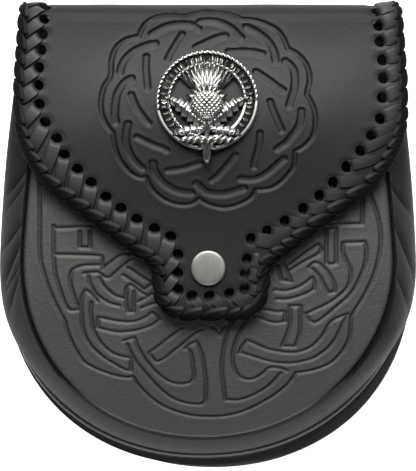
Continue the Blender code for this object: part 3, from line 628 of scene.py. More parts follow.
# a lighter copy of the front's leather: painted light for the back's rim, which lies in shadow
BACK_LEATHER_LIT = leather("back_leather_lit", (0.020, 0.0202, 0.020), (0.042, 0.0424, 0.041), 0.46, 0.62,
                       pebble=1.3)
finish(back_panel, BACK_LEATHER_LIT, "body_leather", "back_panel")


# ---- Gusset --------------------------------------------------------------------------------
# A strip of soft 1.4 mm leather runs round the pouch. Its front edge is turned in and glued
# under the front panel, its wall bows out and creases where it is handled, and its back edge
# spreads into a flat flange that is sewn down on the back.

GUSSET_T = 1.4
GAP = 0.3
FLANGE_UP = BACK_T + GAP + GUSSET_T
WALL_FOOT_RIM = (86.0, -12.0, -93.9, 2.1, 77.5, 80.0)
FLANGE_RIM = (88.1, -12.0, -99.3, 2.1, 79.6, 80.0)
BOW_BOTTOM = 1.2
BOW_SIDE = 5.4
BOW_FROM_Y = -75.0
BOW_TO_Y = -25.0
BOW_PEAK = 1.5
WALL_RISE = 2.9
# the folds of the wall: side, y at the front, y at the back, width, depth (above 0 for a bulge)
WALL_FOLDS = (
    (-1, 30.0, 4.0, 1.8, -1.5), (-1, 23.0, -2.0, 1.6, -0.8), (-1, 5.0, -16.0, 1.6, -1.4),
    (-1, -3.0, -38.0, 1.9, -1.9), (-1, -14.0, -34.0, 1.4, -1.0), (-1, -17.0, -50.0, 1.6, -1.2),
    (1, 22.0, -3.0, 1.7, -1.4), (1, 5.5, -38.0, 2.0, -2.0), (1, -19.0, -42.0, 1.6, -1.2),
    (1, -40.0, -46.0, 12.0, 2.2),
)
WALL_FOLD_DEPTH_SHARE = 0.8
WALL_FOLD_SPREAD = 1.6
WALL_FOLD_STEEPNESS = 1.15
WALL_FOLD_PEAK = 0.55

GUSSET_STATIONS = 760
GUSSET_ROWS = 38
# the rows that are turned in under the front: how far outwards and how far up each one lies
TURN_IN = np.array([(-5.0, -2.8), (-0.7, -2.75), (0.06, -1.5), (0.12, -0.5), (0.4, 0.0), (1.25, 0.05)])
CREASE_ROW = 3
WALL_FROM = len(TURN_IN) - 1
WALL_ROWS = 28
FLANGE_ROWS = GUSSET_ROWS - WALL_FROM - WALL_ROWS
CREASE_LIP = 0.04
GUSSET_BOTTOM_FROM_Y = -62.0
GUSSET_DARKER = 0.62
FLANGE_PAINTED_LIGHT = -1.4


def level_with(rim, share):
    """The point of an outline at a share of the way round it."""
    line = outline(rim)
    at = share * (len(line) - 1)
    return [np.interp(at, np.arange(len(line)), column) for column in line.T]


def folds_at(side, y, down):
    """How far the wall stands out at a share of the way down from the front to the back, and how much
    shade is painted in the bottom of each fold there."""
    full = BOW_BOTTOM + (BOW_SIDE - BOW_BOTTOM) * smooth((y - BOW_FROM_Y) / (BOW_TO_Y - BOW_FROM_Y))
    swell = full * np.sin(math.pi * down**BOW_PEAK)
    dark = np.zeros_like(y)
    for fold_side, y_front, y_back, width, depth in WALL_FOLDS:
        here = side == fold_side
        # each one runs out on its way to the back
        away = (y - y_front - (y_back - y_front) * down) / width
        near = np.exp(-(np.abs(away) / WALL_FOLD_SPREAD) ** WALL_FOLD_STEEPNESS) * here
        swell = swell + (WALL_FOLD_DEPTH_SHARE * depth * near * np.sin(math.pi * down**WALL_FOLD_PEAK)
                         * smooth(1.75 - 2.6 * down))
        # painted shade: darkest in the bottom of a fold, fainter along a bulge
        if depth < 0.0:
            shade = hill(away, 0.0, 0.75) * smooth(1.7 - 2.4 * down)
        else:
            shade = 0.5 * hill(away, 0.0, 0.5) * smooth(1.5 - 2.4 * down)
        dark = np.maximum(dark, shade * here)
    return swell, dark


gusset = leather_blank("gusset_leather", GUSSET_STATIONS, GUSSET_ROWS)
station, row, outer_side = places(gusset)
(fx, fy), (wx, wy), (gx, gy) = (
    level_with(rim, station / GUSSET_STATIONS) for rim in (FRONT_RIM, WALL_FOOT_RIM, FLANGE_RIM))
length = np.hypot(wx - fx, wy - fy)
out_x = (wx - fx) / length
out_y = (wy - fy) / length
low = smooth((GUSSET_BOTTOM_FROM_Y - wy) / BOTTOM_OVER)

# the wall, from the roll beside the front to its foot on the back
down = np.clip((row - WALL_FROM) / WALL_ROWS, 0.0, 1.0)
bulge, folded = folds_at(np.sign(wx - lean(wy)), wy, down)
start_out, start_up = TURN_IN[-1]
wall_out = start_out + (length - start_out) * (0.45 * np.sin(down * math.pi / 2) + 0.55 * down) + bulge
foot = back_height(wy) + FLANGE_UP + WALL_RISE
wall_z = foot + (front_height(fx, fy) + start_up - foot) * (
    0.5 * np.cos(down * math.pi / 2) + 0.5 * (1 - down))

# the turn-in under the front's edge
turned_in = row < WALL_FROM
inset, below = (np.interp(row, np.arange(len(TURN_IN)), column) for column in TURN_IN.T)
below = below * (1.0 - 0.8 * low * (row == CREASE_ROW))
out = np.where(turned_in, inset, wall_out)
sx = fx + out_x * out
sy = fy + out_y * out
lip = CREASE_LIP * low * hill(row, 4.0, 1.1)
sz = np.where(turned_in, front_height(sx, sy) + below, wall_z) + lip

# the flange
last = row - WALL_FROM - WALL_ROWS
flange = np.clip(last / FLANGE_ROWS, 0.0, 1.0)
fall = smooth(last / 1.6)
sx = np.where(last > 0, wx + out_x * 0.1 * fall + (gx - wx) * flange, sx)
sy = np.where(last > 0, wy + out_y * 0.1 * fall + (gy - wy) * flange, sy)
flat = back_height(gy * flange + wy * (1 - flange)) + FLANGE_UP
sz = np.where(last > 0, flat + WALL_RISE * (1 - fall), sz)
inwards = np.where(outer_side < 0.5, GUSSET_T, 0.0)
lean_out = np.where(last > 0, 0.0, np.where(turned_in, 0.15, 0.85))
put(gusset, sx - out_x * inwards * lean_out, sy - out_y * inwards * lean_out,
    sz - inwards * np.sqrt(1 - lean_out**2))

# painted shade in its folds, in the crease beside the front and along the foot of the wall at the bottom;
# it is also darker all over, a little less so in its first rows along the bottom; its flange, which lies in
# shadow, is painted lighter
crease_shade = (1.0 - low) * np.clip((8.0 - row) / 3.0, 0.0, 1.0)
by_foot = low * smooth((down - 0.62) / 0.16)
darker = GUSSET_DARKER - 0.06 * low * np.clip((12.0 - row) / 7.0, 0.0, 1.0)
dark = np.maximum.reduce([1.1 * folded * (row > 4), 0.95 * crease_shade, by_foot, darker])
note(gusset, "press", np.where(last > 1, FLANGE_PAINTED_LIGHT, dark))
# painted light on the flange, which lies in shadow
note(gusset, "edge", np.where(last > 1, 1.0, 0.0))
GUSSET_LEATHER = leather("gusset_leather", (0.012, 0.0122, 0.012), (0.030, 0.0304, 0.029), 0.40, 0.55,
                         pebble=1.2, specular=0.26)
finish(gusset, GUSSET_LEATHER, "gusset_leather", "gusset")


# ---- Seam welt -----------------------------------------------------------------------------
# A thin rolled cord of the gusset's leather lies in the corner between the wall and the flange.
# Its bright line round the pouch is painted light: its material is a much lighter and glossier copy
# of the gusset's leather, painted lighter still along its top.

WELT_RIM = (87.4, -12.0, -95.2, 2.1, 78.9, 80.0)
WELT_RADIUS = 1.0
WELT_RINGS = 420
WELT_END_SHARE = 0.012
WELT_CLEARANCE = 0.1


def rod(name, rings, sides):
    """A closed rod standing on z 0 with unit radius and unit spacing of its rings."""
    choose()
    bpy.ops.mesh.primitive_cylinder_add(vertices=sides, radius=1.0, depth=rings,
                                        location=(0, 0, rings / 2))
    made = named(bpy.context.object, name)
    bpy.ops.object.transform_apply()
    spots = made.data.vertices
    made.data.edges.foreach_set("select", [
        abs(spots[edge.vertices[0]].co.z - spots[edge.vertices[1]].co.z) > 0.5
        for edge in made.data.edges])
    made.data.polygons.foreach_set("select", [False] * len(made.data.polygons))
    bpy.context.tool_settings.mesh_select_mode = (False, True, False)
    bpy.ops.object.mode_set(mode="EDIT")
    bpy.ops.mesh.subdivide(number_cuts=rings - 1)
    bpy.ops.object.mode_set(mode="OBJECT")
    return made


seam_welt = rod("seam_welt_cord", WELT_RINGS, 12)
px, py, ring = places(seam_welt)
(wx, wy), (ahead_x, ahead_y) = (
    level_with(WELT_RIM, WELT_END_SHARE + (1 - 2 * WELT_END_SHARE) * at / WELT_RINGS)
    for at in (ring, ring + 0.5))
way = np.hypot(ahead_x - wx, ahead_y - wy)
put(seam_welt, wx + (ahead_y - wy) / way * px * WELT_RADIUS,
    wy + (wx - ahead_x) / way * px * WELT_RADIUS,
    back_height(wy) + FLANGE_UP + WELT_CLEARANCE + WELT_RADIUS * (1 + py))
note(seam_welt, "press", 0.0)
# painted highlight along the top of the cord
note(seam_welt, "edge", np.clip(py, 0.0, 1.0))
WELT_LEATHER_LIT = leather("welt_leather_lit", (0.055, 0.055, 0.056), (0.115, 0.115, 0.115), 0.26, 0.38,
                       specular=0.7)
finish(seam_welt, WELT_LEATHER_LIT, "gusset_leather", "seam_welt")


# ---- Flap ----------------------------------------------------------------------------------
# The flap is one piece of 2.8 mm leather, riveted inside the top of the back. It is cut flat,
# tooled with a ring of knotwork, punched for its lacing, snap and badge, and then folded over
# the top of the pouch.

FLAP_T = 2.8
FLAP_AXIS = 1.3
FLAP_CLEARANCE = 2.1
FLAP_SWELL = 4.0
SWELL_FROM_Y = -40.0
# corners of its outline: distance from its axis, place along the leather, and rounding
FLAP_CORNERS = ((79.3, 97.0, 0.0), (81.2, 66.0, 60.0), (81.2, 31.5, 44.5), (22.6, -12.2, 6.0),
                (22.6, -33.8, 12.3), (0.0, -33.8, 0.0))
FOLD_Y = 90.6
LAP_LENGTH = 18.0
LAP_HALF_WIDTH = 74.0
FOLD_START = math.atan(-float(along(FRONT_PROFILE_Y, FRONT_PROFILE_Z, FOLD_Y + 1)
                              - along(FRONT_PROFILE_Y, FRONT_PROFILE_Z, FOLD_Y - 1)) / 2)
LAP_Z = BACK_LIFT + BACK_T + GAP


def fold_radius(x):
    """Outer radius of the fold over the top, at a distance across."""
    return (front_height(x, FOLD_Y) + FLAP_CLEARANCE + FLAP_T - LAP_Z) / (1 + math.cos(FOLD_START))


FOLD_RADIUS = float(fold_radius(0.0))
FOLD_LENGTH = FOLD_RADIUS * (math.pi - FOLD_START)


def on_flap(x, v, lift):
    """Where a point of the flat-cut flap comes to lie; lift is measured from its flesh side."""
    x, v, lift = np.broadcast_arrays(np.asarray(x, float), v, lift)
    radius = fold_radius(x)
    centre_y = FOLD_Y - FOLD_RADIUS * math.sin(FOLD_START)
    centre_z = LAP_Z + radius
    arm_y = FOLD_RADIUS - FLAP_T + lift
    arm_z = radius - FLAP_T + lift
    angle = np.minimum(FOLD_START + (v - FOLD_Y) / FOLD_RADIUS, math.pi)
    lap = np.maximum(v - FOLD_Y - FOLD_LENGTH, 0.0)
    share = np.clip((v - SWELL_FROM_Y) / (FOLD_Y - SWELL_FROM_Y), 0.0, 1.0)
    swell = FLAP_SWELL * np.sin(math.pi * share**1.6) ** 2 * (1.0 - 0.6 * (x / 80.0) ** 2)
    y = np.where(v <= FOLD_Y, v, centre_y + arm_y * np.sin(angle) - lap)
    z = np.where(v <= FOLD_Y, front_height(x, np.minimum(v, FOLD_Y)) + FLAP_CLEARANCE + swell + lift,
                 centre_z + arm_z * np.cos(angle))
    return x, y, z


def along_leather(y):
    """The place along the leather that is seen at this y from the front."""
    y = np.asarray(y, float)
    sine = np.clip((y - FOLD_Y + FOLD_RADIUS * math.sin(FOLD_START)) / FOLD_RADIUS, -1.0, 0.98)
    return np.where(y <= FOLD_Y, y, FOLD_Y + FOLD_RADIUS * (np.arcsin(sine) - FOLD_START))


ROUNDING_STEP = 0.25


def rounded(corners):
    """The line through corners with each one rounded."""
    spots = [np.array(corner[:2]) for corner in corners]
    line = [spots[0]]
    for before, here, after, corner in zip(spots, spots[1:], spots[2:], corners[1:]):
        a = (before - here) / np.linalg.norm(before - here)
        b = (after - here) / np.linalg.norm(after - here)
        half = math.acos(np.clip(a @ b, -1.0, 1.0)) / 2
        reach = corner[2] / math.tan(half)
        middle = here + (a + b) / np.linalg.norm(a + b) * corner[2] / math.sin(half)
        first = here + a * reach - middle
        last = here + b * reach - middle
        turn = math.pi - 2 * half
        for share in np.linspace(0.0, 1.0, max(3, int(turn * corner[2] / ROUNDING_STEP))):
            line.append(middle + (first * math.sin((1 - share) * turn) + last * math.sin(share * turn))
                        / math.sin(turn))
    line.append(spots[-1])
    return np.array(line)


half_outline = rounded(FLAP_CORNERS)
end_of_fold = FOLD_Y + FOLD_LENGTH
whole_half = np.concatenate([[[LAP_HALF_WIDTH, end_of_fold + LAP_LENGTH], [LAP_HALF_WIDTH, end_of_fold]],
                             half_outline])


def flap_half_width(v):
    """Half the flap's width at a place along the leather."""
    return np.interp(v, whole_half[::-1, 1], whole_half[::-1, 0])


# The ring of knotwork: its scalloped outline, one row a scallop, seen from the front
RING_OUTLINE_WIDTH = 2.2
RING_OUTLINE = (
    ((-9.8, 93.6), (-6.8, 94.8), (-3.2, 95.7), (1.1, 95.8), (5.3, 95.5), (9, 94.8), (12, 93.6),
     (14.3, 92.2)),
    ((14.3, 92.2), (17.8, 92), (21.9, 91.1), (25.5, 89.7), (29, 87.7), (31.3, 85.2), (32.6, 82.9),
     (34, 79.3)),
    ((34, 79.3), (37.4, 77.5), (40.3, 74.8), (42.1, 71.9), (43.1, 68.2), (43.1, 64.6), (42.4, 61.7),
     (42.1, 59.3)),
    ((42.1, 59.3), (43.9, 56.1), (45.1, 52.7), (45.6, 49.1), (45.4, 45.1), (44, 41.2), (40.7, 37.6),
     (36.9, 35.4)),
    ((36.9, 35.4), (36.9, 32.1), (36.3, 28.9), (34, 25.7), (30.8, 22.3), (27, 20), (23.1, 19.3),
     (20.4, 19.3)),
    ((20.4, 19.3), (18.7, 16.3), (15.5, 14.1), (11.7, 12.5), (7.2, 11.6), (2.6, 12.3), (-1.2, 13.7),
     (-3.6, 15.3)),
    ((-3.6, 15.3), (-6.5, 13.4), (-9.8, 12.8), (-13.2, 13.1), (-17.1, 14.3), (-21, 16.8), (-24.1, 20.1),
     (-26.2, 24.4)),
    ((-26.2, 24.4), (-29, 24.4), (-32.4, 26), (-35.5, 29.2), (-38, 33.2), (-39.3, 37), (-39.9, 40.2),
     (-40.4, 43.3)),
    ((-40.4, 43.3), (-42.8, 46.4), (-44.5, 49.7), (-45.4, 53), (-45.5, 56.1), (-45.1, 59.6), (-44, 63.2),
     (-41.8, 66.6)),
    ((-41.8, 66.6), (-41.2, 69.4), (-41.2, 73.4), (-40.6, 76.4), (-39.5, 79.2), (-37.2, 81.8),
     (-34.1, 83.6), (-29.4, 84.7)),
    ((-29.4, 84.7), (-28.2, 87.5), (-26.8, 89.8), (-24.5, 91.9), (-21.7, 93.3), (-18.2, 94.1),
     (-14.1, 94.1), (-9.8, 93.6)),
)
# the long outer arcs and the short inner slots between its strands: width, marks
RING_CHART_SCALE = 0.9962
RING_ARCS = (
    (3.4, ((-24, 85.9), (-21.8, 87.3), (-18.8, 88.8), (-15.5, 89.8), (-11.7, 90.3), (-7.9, 90.1),
           (-5.2, 89.2), (-4.2, 88.2))),
    (3.4, ((-3.4, 91.2), (-1.6, 91.6), (1.1, 91.7), (3.7, 91.3), (6.4, 90.4), (9, 89), (11.3, 87.2),
           (12.9, 85.4), (14.2, 84.2))),
    (3.4, ((16.4, 89), (20.5, 87), (24.4, 84.1), (26.8, 81.2), (28.3, 77.7), (28.9, 74.3))),
    (3.4, ((33, 74.2), (35, 72.6), (36.4, 70.6), (37, 68), (37.1, 64.6), (36.8, 62), (36.1, 59.6),
           (35.2, 56.9), (34.7, 55))),
    (3.4, ((39.8, 52.8), (39.7, 49.9), (38.9, 46.9), (37.4, 44.1), (35.5, 41.7), (33.5, 39.3),
           (31.1, 37.6), (29.6, 36.6))),
    (3.4, ((32.3, 32.3), (29.7, 30.1), (26.7, 27.4), (23.2, 25), (19.8, 23.8), (16.1, 23.6), (13.9, 23.9))),
    (3.8, ((-4.9, 21.6), (-2.5, 19.5), (-1.3, 18.5), (1.7, 17.6), (5.2, 17.4), (8.6, 17.7), (12, 18.7),
           (15.1, 19.7))),
    (3.8, ((-23.3, 30.4), (-23, 27.7), (-21.3, 24.6), (-18.5, 21.6), (-14.8, 19.3), (-10.7, 18.1),
           (-7.3, 17.8))),
    (3.4, ((-34.1, 47.2), (-34.8, 43.4), (-34.9, 39.7), (-33.9, 35.9), (-32.1, 32.5), (-29.8, 29.8),
           (-27.9, 28.4))),
    (3.4, ((-32.6, 66.8), (-35.3, 65.3), (-37.2, 62.9), (-38.7, 59.8), (-39.4, 56.4), (-39.7, 52.6),
           (-39.7, 50.3), (-39.2, 47.9))),
    (3.4, ((-37.5, 69.5), (-36.7, 72.4), (-35, 75.5), (-32.2, 78.1), (-28.8, 80), (-25.4, 81.2),
           (-22.5, 81.8))),
)
RING_SLOT_WIDTH = 3.0
RING_SLOTS = (
    ((-5.2, 80.3), (-2.5, 81.5), (0, 82.7), (3.4, 84.2), (6.5, 85.1), (7.7, 85.1)),
    ((8.7, 78.4), (15.7, 78.6), (20.2, 78.2), (23.4, 77.4)),
    ((20.5, 69.7), (23.6, 67.8), (27, 65.3), (30.1, 63), (32.1, 61.7)),
    ((26.5, 56.9), (27.5, 53.7), (28.9, 50.3), (30.2, 47.2), (31.4, 44.5)),
    ((22.1, 43.3), (21.9, 39.3), (21.1, 35.6), (20, 31.8), (19.5, 28.9)),
    ((11.6, 33.9), (9.2, 30.8), (6.5, 27.7), (4, 25), (1.7, 23.3)),
    ((-17, 27.4), (-14.1, 27.7), (-10.3, 28.3), (-6.2, 29.6), (-3.5, 30.4)),
    ((-30.2, 41.6), (-27.1, 40), (-23.3, 38.3), (-19.9, 37.1), (-17.5, 35.9)),
    ((-32.7, 59.8), (-31.4, 56.4), (-30.2, 53.9), (-28.1, 51), (-26.4, 48.6), (-25.2, 47.4)),
    ((-26.3, 76.2), (-26.5, 71.4), (-26.1, 66.6), (-25.7, 62.7)),
    ((-11, 85.8), (-13.4, 82), (-15.6, 78.3), (-17.2, 75)),
)


def flat_marks(marks, scale=1.0):
    """Marks seen from the front, as they lie on the leather before it is folded."""
    marks = np.array(marks, float) * scale
    return np.stack([marks[:, 0], along_leather(marks[:, 1])], axis=1)


ring_lines = [(RING_OUTLINE_WIDTH, drawn(flat_marks(marks))) for marks in RING_OUTLINE]
ring_lines += [(width, drawn(flat_marks(marks, RING_CHART_SCALE))) for width, marks in RING_ARCS]
ring_lines += [(RING_SLOT_WIDTH, drawn(flat_marks(marks, RING_CHART_SCALE))) for marks in RING_SLOTS]

# The holes of the lacing, seen from the front, from the left end round the tab to the right end
LACE_HOLES = (
    (-69.8, 92.8), (-70.5, 86.1), (-71.1, 79.3), (-71.9, 71.7), (-72.1, 64.1), (-71.6, 56.0),
    (-69.1, 48.3), (-64.2, 41.4), (-60.9, 34.6), (-55.3, 28.4), (-49.5, 22.7), (-43.2, 16.6),
    (-36.9, 11.8), (-30.1, 7.2), (-22.6, 3.2), (-15.7, -0.2), (-12.6, -7.9), (-12.7, -15.6),
    (-12.5, -22.6), (-6.9, -25.2), (0.4, -25.4), (8.9, -24.3), (15.3, -22.3), (15.5, -15.9),
    (16.4, -9.9), (18.0, -1.3), (24.9, 1.9), (32.4, 6.1), (40.2, 11.4), (47.1, 16.9), (52.9, 22.5),
    (58.5, 29.1), (64.6, 35.9), (69.3, 42.3), (73.0, 49.6), (74.0, 58.6), (74.4, 67.0), (74.1, 74.8),
    (73.2, 82.7), (72.6, 89.6), (71.6, 95.8),
)
LACE_HOLE_DIAMETER = 5.0
LACE_HOLE_PULL = 0.4
SNAP_X, SNAP_Y = 0.1, -14.0
SNAP_HOLE_DIAMETER = 7.0
BADGE_X, BADGE_Y = -0.5, 57.0
BADGE_PIN_SPAN = 36.0
BADGE_PIN_HOLE = 3.6
LOOP_X = 38.0
RIVET_HOLE = 3.6
RIVET_UPPER_Y = 87.2

flap = leather_blank("flap_leather", 71, 75, 3)
across, up, grain_side = places(flap)
# the cells are fine round the rim, at the tab and where the ring of knotwork is
u = shares(across, (-1.0, -0.97, 5), (-0.97, -0.62, 20), (-0.62, 0.59, 234), (0.59, 0.97, 20),
           (0.97, 1.0, 5))
v = shares(up, (FLAP_CORNERS[-1][1], -21.5, 28), (-21.5, 9.0, 32), (9.0, 99.0, 212),
           (99.0, end_of_fold + LAP_LENGTH, 28))
put(flap, FLAP_AXIS + u * flap_half_width(v), v, grain_side * FLAP_T)


def joined(pieces, name):
    """Makes one piece of several."""
    choose(*pieces)
    bpy.ops.object.join()
    return named(bpy.context.object, name)


PUNCH_LENGTH = 20.0
PUNCH_SIDES = 26


def punch(piece, spots):
    """Cuts round holes of (x, y, diameter) through a flat piece, sharp-edged as a punch leaves them."""
    choose()
    tools = []
    for x, y, diameter in spots:
        bpy.ops.mesh.primitive_cylinder_add(vertices=PUNCH_SIDES, radius=diameter / 2 * MM,
                                            depth=PUNCH_LENGTH * MM, location=(x * MM, y * MM, 0.0))
        tools.append(bpy.context.object)
    tool = joined(tools[::-1], "punch")
    bpy.ops.object.transform_apply()
    choose(piece)
    cut = piece.modifiers.new("punch", "BOOLEAN")
    cut.operation = "DIFFERENCE"
    cut.solver = "MANIFOLD"
    cut.object = tool
    bpy.ops.object.modifier_apply(modifier="punch")
    bpy.data.objects.remove(tool)


# where the leather is flat, two more holes at each end, which come to lie over the fold
FIRST_HOLES = ((-68.9, 106.4), (-69.4, 99.7))
LAST_HOLES = ((70.8, 103.0), (70.3, 110.0))
hole_marks = np.concatenate([FIRST_HOLES, flat_marks(LACE_HOLES), LAST_HOLES])
lap_y = end_of_fold + FOLD_Y - FOLD_RADIUS * math.sin(FOLD_START) - RIVET_UPPER_Y
# How the stitches lie, at a few of the holes: the hole, the way a stitch runs from it in degrees,
# where it meets the bead (inset from the rim), its sag to the left of its way, the share of its
# width at its end, the bead's middle (outset from the rim), half width and half height, and which
# end of the bead's links lies inwards
STITCHES = (
    (-1, 217, 0.7, 0.0, 0.95, 0.7, 1.5, 2.2, 1.0),
    (4, 217, 0.7, 0.0, 0.95, 0.7, 1.5, 2.2, 1.0),
    (6, 243, 1.9, 0.0, 0.9, -0.1, 2.1, 2.5, 1.0),
    (8, 260, 2.4, 0.0, 0.85, -0.5, 2.4, 2.6, 1.0),
    (14, 264, 2.4, 0.0, 0.85, -0.5, 2.4, 2.6, 1.0),
    (15, 250, 2.6, 0.0, 0.8, -0.6, 2.2, 2.6, 1.0),
    (16, 232, 2.4, 0.0, 0.8, -0.6, 2.1, 2.6, 1.0),
    (18, 236, 2.2, 0.0, 0.9, -0.7, 2.1, 2.6, 1.0),
    (19, 306, 3.0, 0.0, 1.3, -0.8, 2.1, 2.5, 1.0),
    (20, 324, 3.0, 0.0, 1.4, -0.8, 2.1, 2.5, 1.0),
    (21, 330, 2.6, -0.3, 1.3, -0.6, 2.0, 2.5, 0.5),
    (22, 352, 2.2, -0.4, 0.7, -0.4, 1.9, 2.4, -1.0),
    (24, 354, 2.6, -0.5, 0.8, -0.6, 2.1, 2.4, -1.0),
    (26, 355, 3.2, -0.6, 0.65, -0.9, 2.3, 2.5, -1.0),
    (28, 2, 3.2, -0.6, 0.65, -0.9, 2.3, 2.5, -1.0),
    (30, 7, 3.0, -0.6, 0.65, -0.8, 2.3, 2.4, -1.0),
    (31, 17, 2.6, -0.5, 0.8, -0.6, 2.2, 2.4, -1.0),
    (32, 26, 2.0, -0.3, 0.85, -0.2, 2.0, 2.1, -1.0),
    (33, 28, 1.3, -0.2, 0.9, 0.2, 1.7, 1.9, -1.0),
    (35, 24, 0.4, 0.0, 1.0, 0.6, 1.2, 1.6, -1.0),
    (41, 20, 0.3, 0.0, 1.0, 0.6, 1.1, 1.5, -1.0),
)

stitch_table = np.array(STITCHES, float)
stitch_table[:, 1] = np.degrees(np.unwrap(np.radians(stitch_table[:, 1])))


def stitch_at(k):
    """The row of the table at a stitch, or part of the way between two."""
    return [float(np.interp(k - len(FIRST_HOLES), stitch_table[:, 0], column)) for column in stitch_table.T]


way_angles = np.radians([stitch_at(k)[1] for k in range(len(hole_marks))])
stitch_ways = np.stack([np.cos(way_angles), np.sin(way_angles)], axis=1)

# the pull of the lace draws each hole a little towards the rim
hole_spots = hole_marks + stitch_ways * LACE_HOLE_PULL
holes = [(x, v, LACE_HOLE_DIAMETER) for x, v in hole_spots]
holes.append((SNAP_X, SNAP_Y, SNAP_HOLE_DIAMETER))
holes += [(BADGE_X + side * BADGE_PIN_SPAN / 2, BADGE_Y, BADGE_PIN_HOLE) for side in (-1, 1)]
holes += [(side * LOOP_X, lap_y, RIVET_HOLE) for side in (-1, 1)]
punch(flap, holes)

FLAP_PRESS_DEPTH = 0.44
RING_HALF_WIDTH = 50.0
RING_FROM_V, RING_TO_V = 8.0, 100.0
HOLES_OUTSIDE = 45.0
DISH_DEPTH = 0.26
FOLD_SHADE = 0.45
BEFORE_FOLD_LIGHT = 0.12
LOW_SHADE = 0.15

x, v, lift = places(flap) / MM
on_top = lift > FLAP_T / 2
by_ring = (np.abs(x) < RING_HALF_WIDTH) & (v > RING_FROM_V) & (v < RING_TO_V)
press, outside, burn_and_shade = pressed(ring_lines, x, v, on_top & by_ring)
hole_far, _ = distance_to(hole_spots, x, v, on_top & ((np.abs(x) > HOLES_OUTSIDE) | (v < HOLES_OUTSIDE)))
from_hole = np.maximum(hole_far - LACE_HOLE_DIAMETER / 2, 0.0)
from_side = flap_half_width(v) - np.abs(x - FLAP_AXIS)
both_sides = np.concatenate([whole_half, whole_half * (-1, 1)]) + (FLAP_AXIS, 0.0)
from_edge, _ = distance_to(both_sides, x, v, on_top & ((from_side < 12) | (v < 0)))
ripple = (0.12 * np.sin(x / 14.0 + 1.1 * np.sin(v / 19.0)) * np.sin(v / 15.0 + 0.4)
          + 0.04 * np.sin(x / 5.1 - v / 6.7))
shaped = (lift + LIP_HEIGHT * hill(outside, 0.6, 0.8) + ripple - FLAP_PRESS_DEPTH * press
          - DISH_DEPTH * hill(from_hole, 0.0, 0.8) - rolled(from_edge, 0.8))
put(flap, *on_flap(x, v, np.where(on_top, shaped, lift)))
# painted shade beyond the fold, where it hides the fold's highlight, and low down in the middle and to the
# right, so that the flap darkens downwards; painted light just before the fold
over_fold = FOLD_SHADE * smooth((v - FOLD_Y + 0.6) / 3.0) - BEFORE_FOLD_LIGHT * hill(v, FOLD_Y - 2.0, 3.0)
low_shade = LOW_SHADE * hill(v, 34.0, 26.0) * smooth((x + 45.0) / 30.0)
note(flap, "press", np.where(on_top, np.maximum(burn_and_shade, over_fold + low_shade), 0.0))
note(flap, "edge", 0.3 * hill(from_hole, 0.0, 0.6))
FLAP_LEATHER = leather("flap_leather", (0.006, 0.0061, 0.006), (0.0125, 0.0127, 0.0121), 0.37, 0.53,
                       depth=0.15, specular=0.2)
finish(flap, FLAP_LEATHER, "body_leather", "flap")


# ---- Flap lacing ---------------------------------------------------------------------------
# Flat calf lace about 5 mm wide is worked round the flap's edge in a one-hole braid: each
# stitch comes up through its hole, lies slanting over the grain, wraps the edge and locks
# under the next one, which leaves a plaited bead along the rim.

LACE_T = 1.1
LACE_TOP = 2.9
THONG_GAP = 0.15
THONG_NARROWEST, THONG_WIDEST = 4.4, 6.6
SHORTEST_RUN, LONGEST_RUN = 4.4, 16.0
EDGE_WITHIN = 20.0
REACH_STEP = 0.1
LACED_TO_V = 120.0
RIM_STEP = 0.25
edge_half = np.concatenate([[[float(flap_half_width(LACED_TO_V)), LACED_TO_V]], whole_half[2:]])
edge_line = np.concatenate([edge_half, (edge_half * (-1, 1))[::-1][1:]])[::-1] + (FLAP_AXIS, 0.0)
edge_run = np.concatenate([[0.0], np.cumsum(np.linalg.norm(np.diff(edge_line, axis=0), axis=1))])
even = np.arange(0.0, edge_run[-1], RIM_STEP)
rim_x, rim_v = (np.interp(even, edge_run, column) for column in edge_line.T)
rim_way = np.stack([np.gradient(rim_x), np.gradient(rim_v)], axis=1)
rim_way /= np.linalg.norm(rim_way, axis=1)[:, None]
rim_out = np.stack([rim_way[:, 1], -rim_way[:, 0]], axis=1)


def inset_of(x, v):
    """How far a point lies inside the flap's outline, and the nearest place on the rim."""
    apart = np.stack([x - rim_x, v - rim_v], axis=1)
    i = int(np.argmin((apart**2).sum(axis=1)))
    return -float(apart[i] @ rim_out[i]), i


def reach(hole, way, run, limit, inset):
    """How far a stitch runs along its way until it is only this far inside the rim."""
    while run < limit and inset_of(*(hole + way * run))[0] > inset:
        run += REACH_STEP
    return run


def stitch_width(k):
    """A stitch nearly fills the room between its neighbours."""
    across_way = np.array([-stitch_ways[k][1], stitch_ways[k][0]])
    beside = [other for other in (k - 1, k + 1) if 0 <= other < len(hole_marks)]
    rooms = [abs((hole_marks[other] - hole_marks[k]) @ across_way) for other in beside]
    return float(np.clip(np.mean(rooms) - THONG_GAP, THONG_NARROWEST, THONG_WIDEST))


def another(blank):
    """A copy of a blank, with the x, y and z of its vertices."""
    piece = blank.copy()
    piece.data = blank.data.copy()
    bpy.context.collection.objects.link(piece)
    return piece, *places(piece)


def lay(piece, line, marks, a, b, height, back):
    """Lays a strap along marks of (along, across, lift): a runs along it, b across in millimetres
    and height off it, and back draws it back. line is its start and its way in the flap's plane."""
    start, way = line
    marks = np.array(marks)
    at = np.linspace(0.0, 1.0, len(marks))
    s, q, h = (along(at, column, a) for column in marks.T)
    ahead = np.minimum(a + 0.004, 1.0)
    behind = np.maximum(a - 0.004, 0.0)
    s2, h2 = (along(at, marks[:, i], ahead) - along(at, marks[:, i], behind) for i in (0, 2))
    size = np.hypot(s2, h2)
    s = s - h2 / size * height - back
    h = h + s2 / size * height
    q = q + b
    put(piece, *on_flap(start[0] + way[0] * s - way[1] * q, start[1] + way[1] * s + way[0] * q, h))


HOLE_RADIUS = LACE_HOLE_DIAMETER / 2
THONG_CELLS = 36
THONG_START_HALF = 2.3
THONG_END_SHADE = 0.75
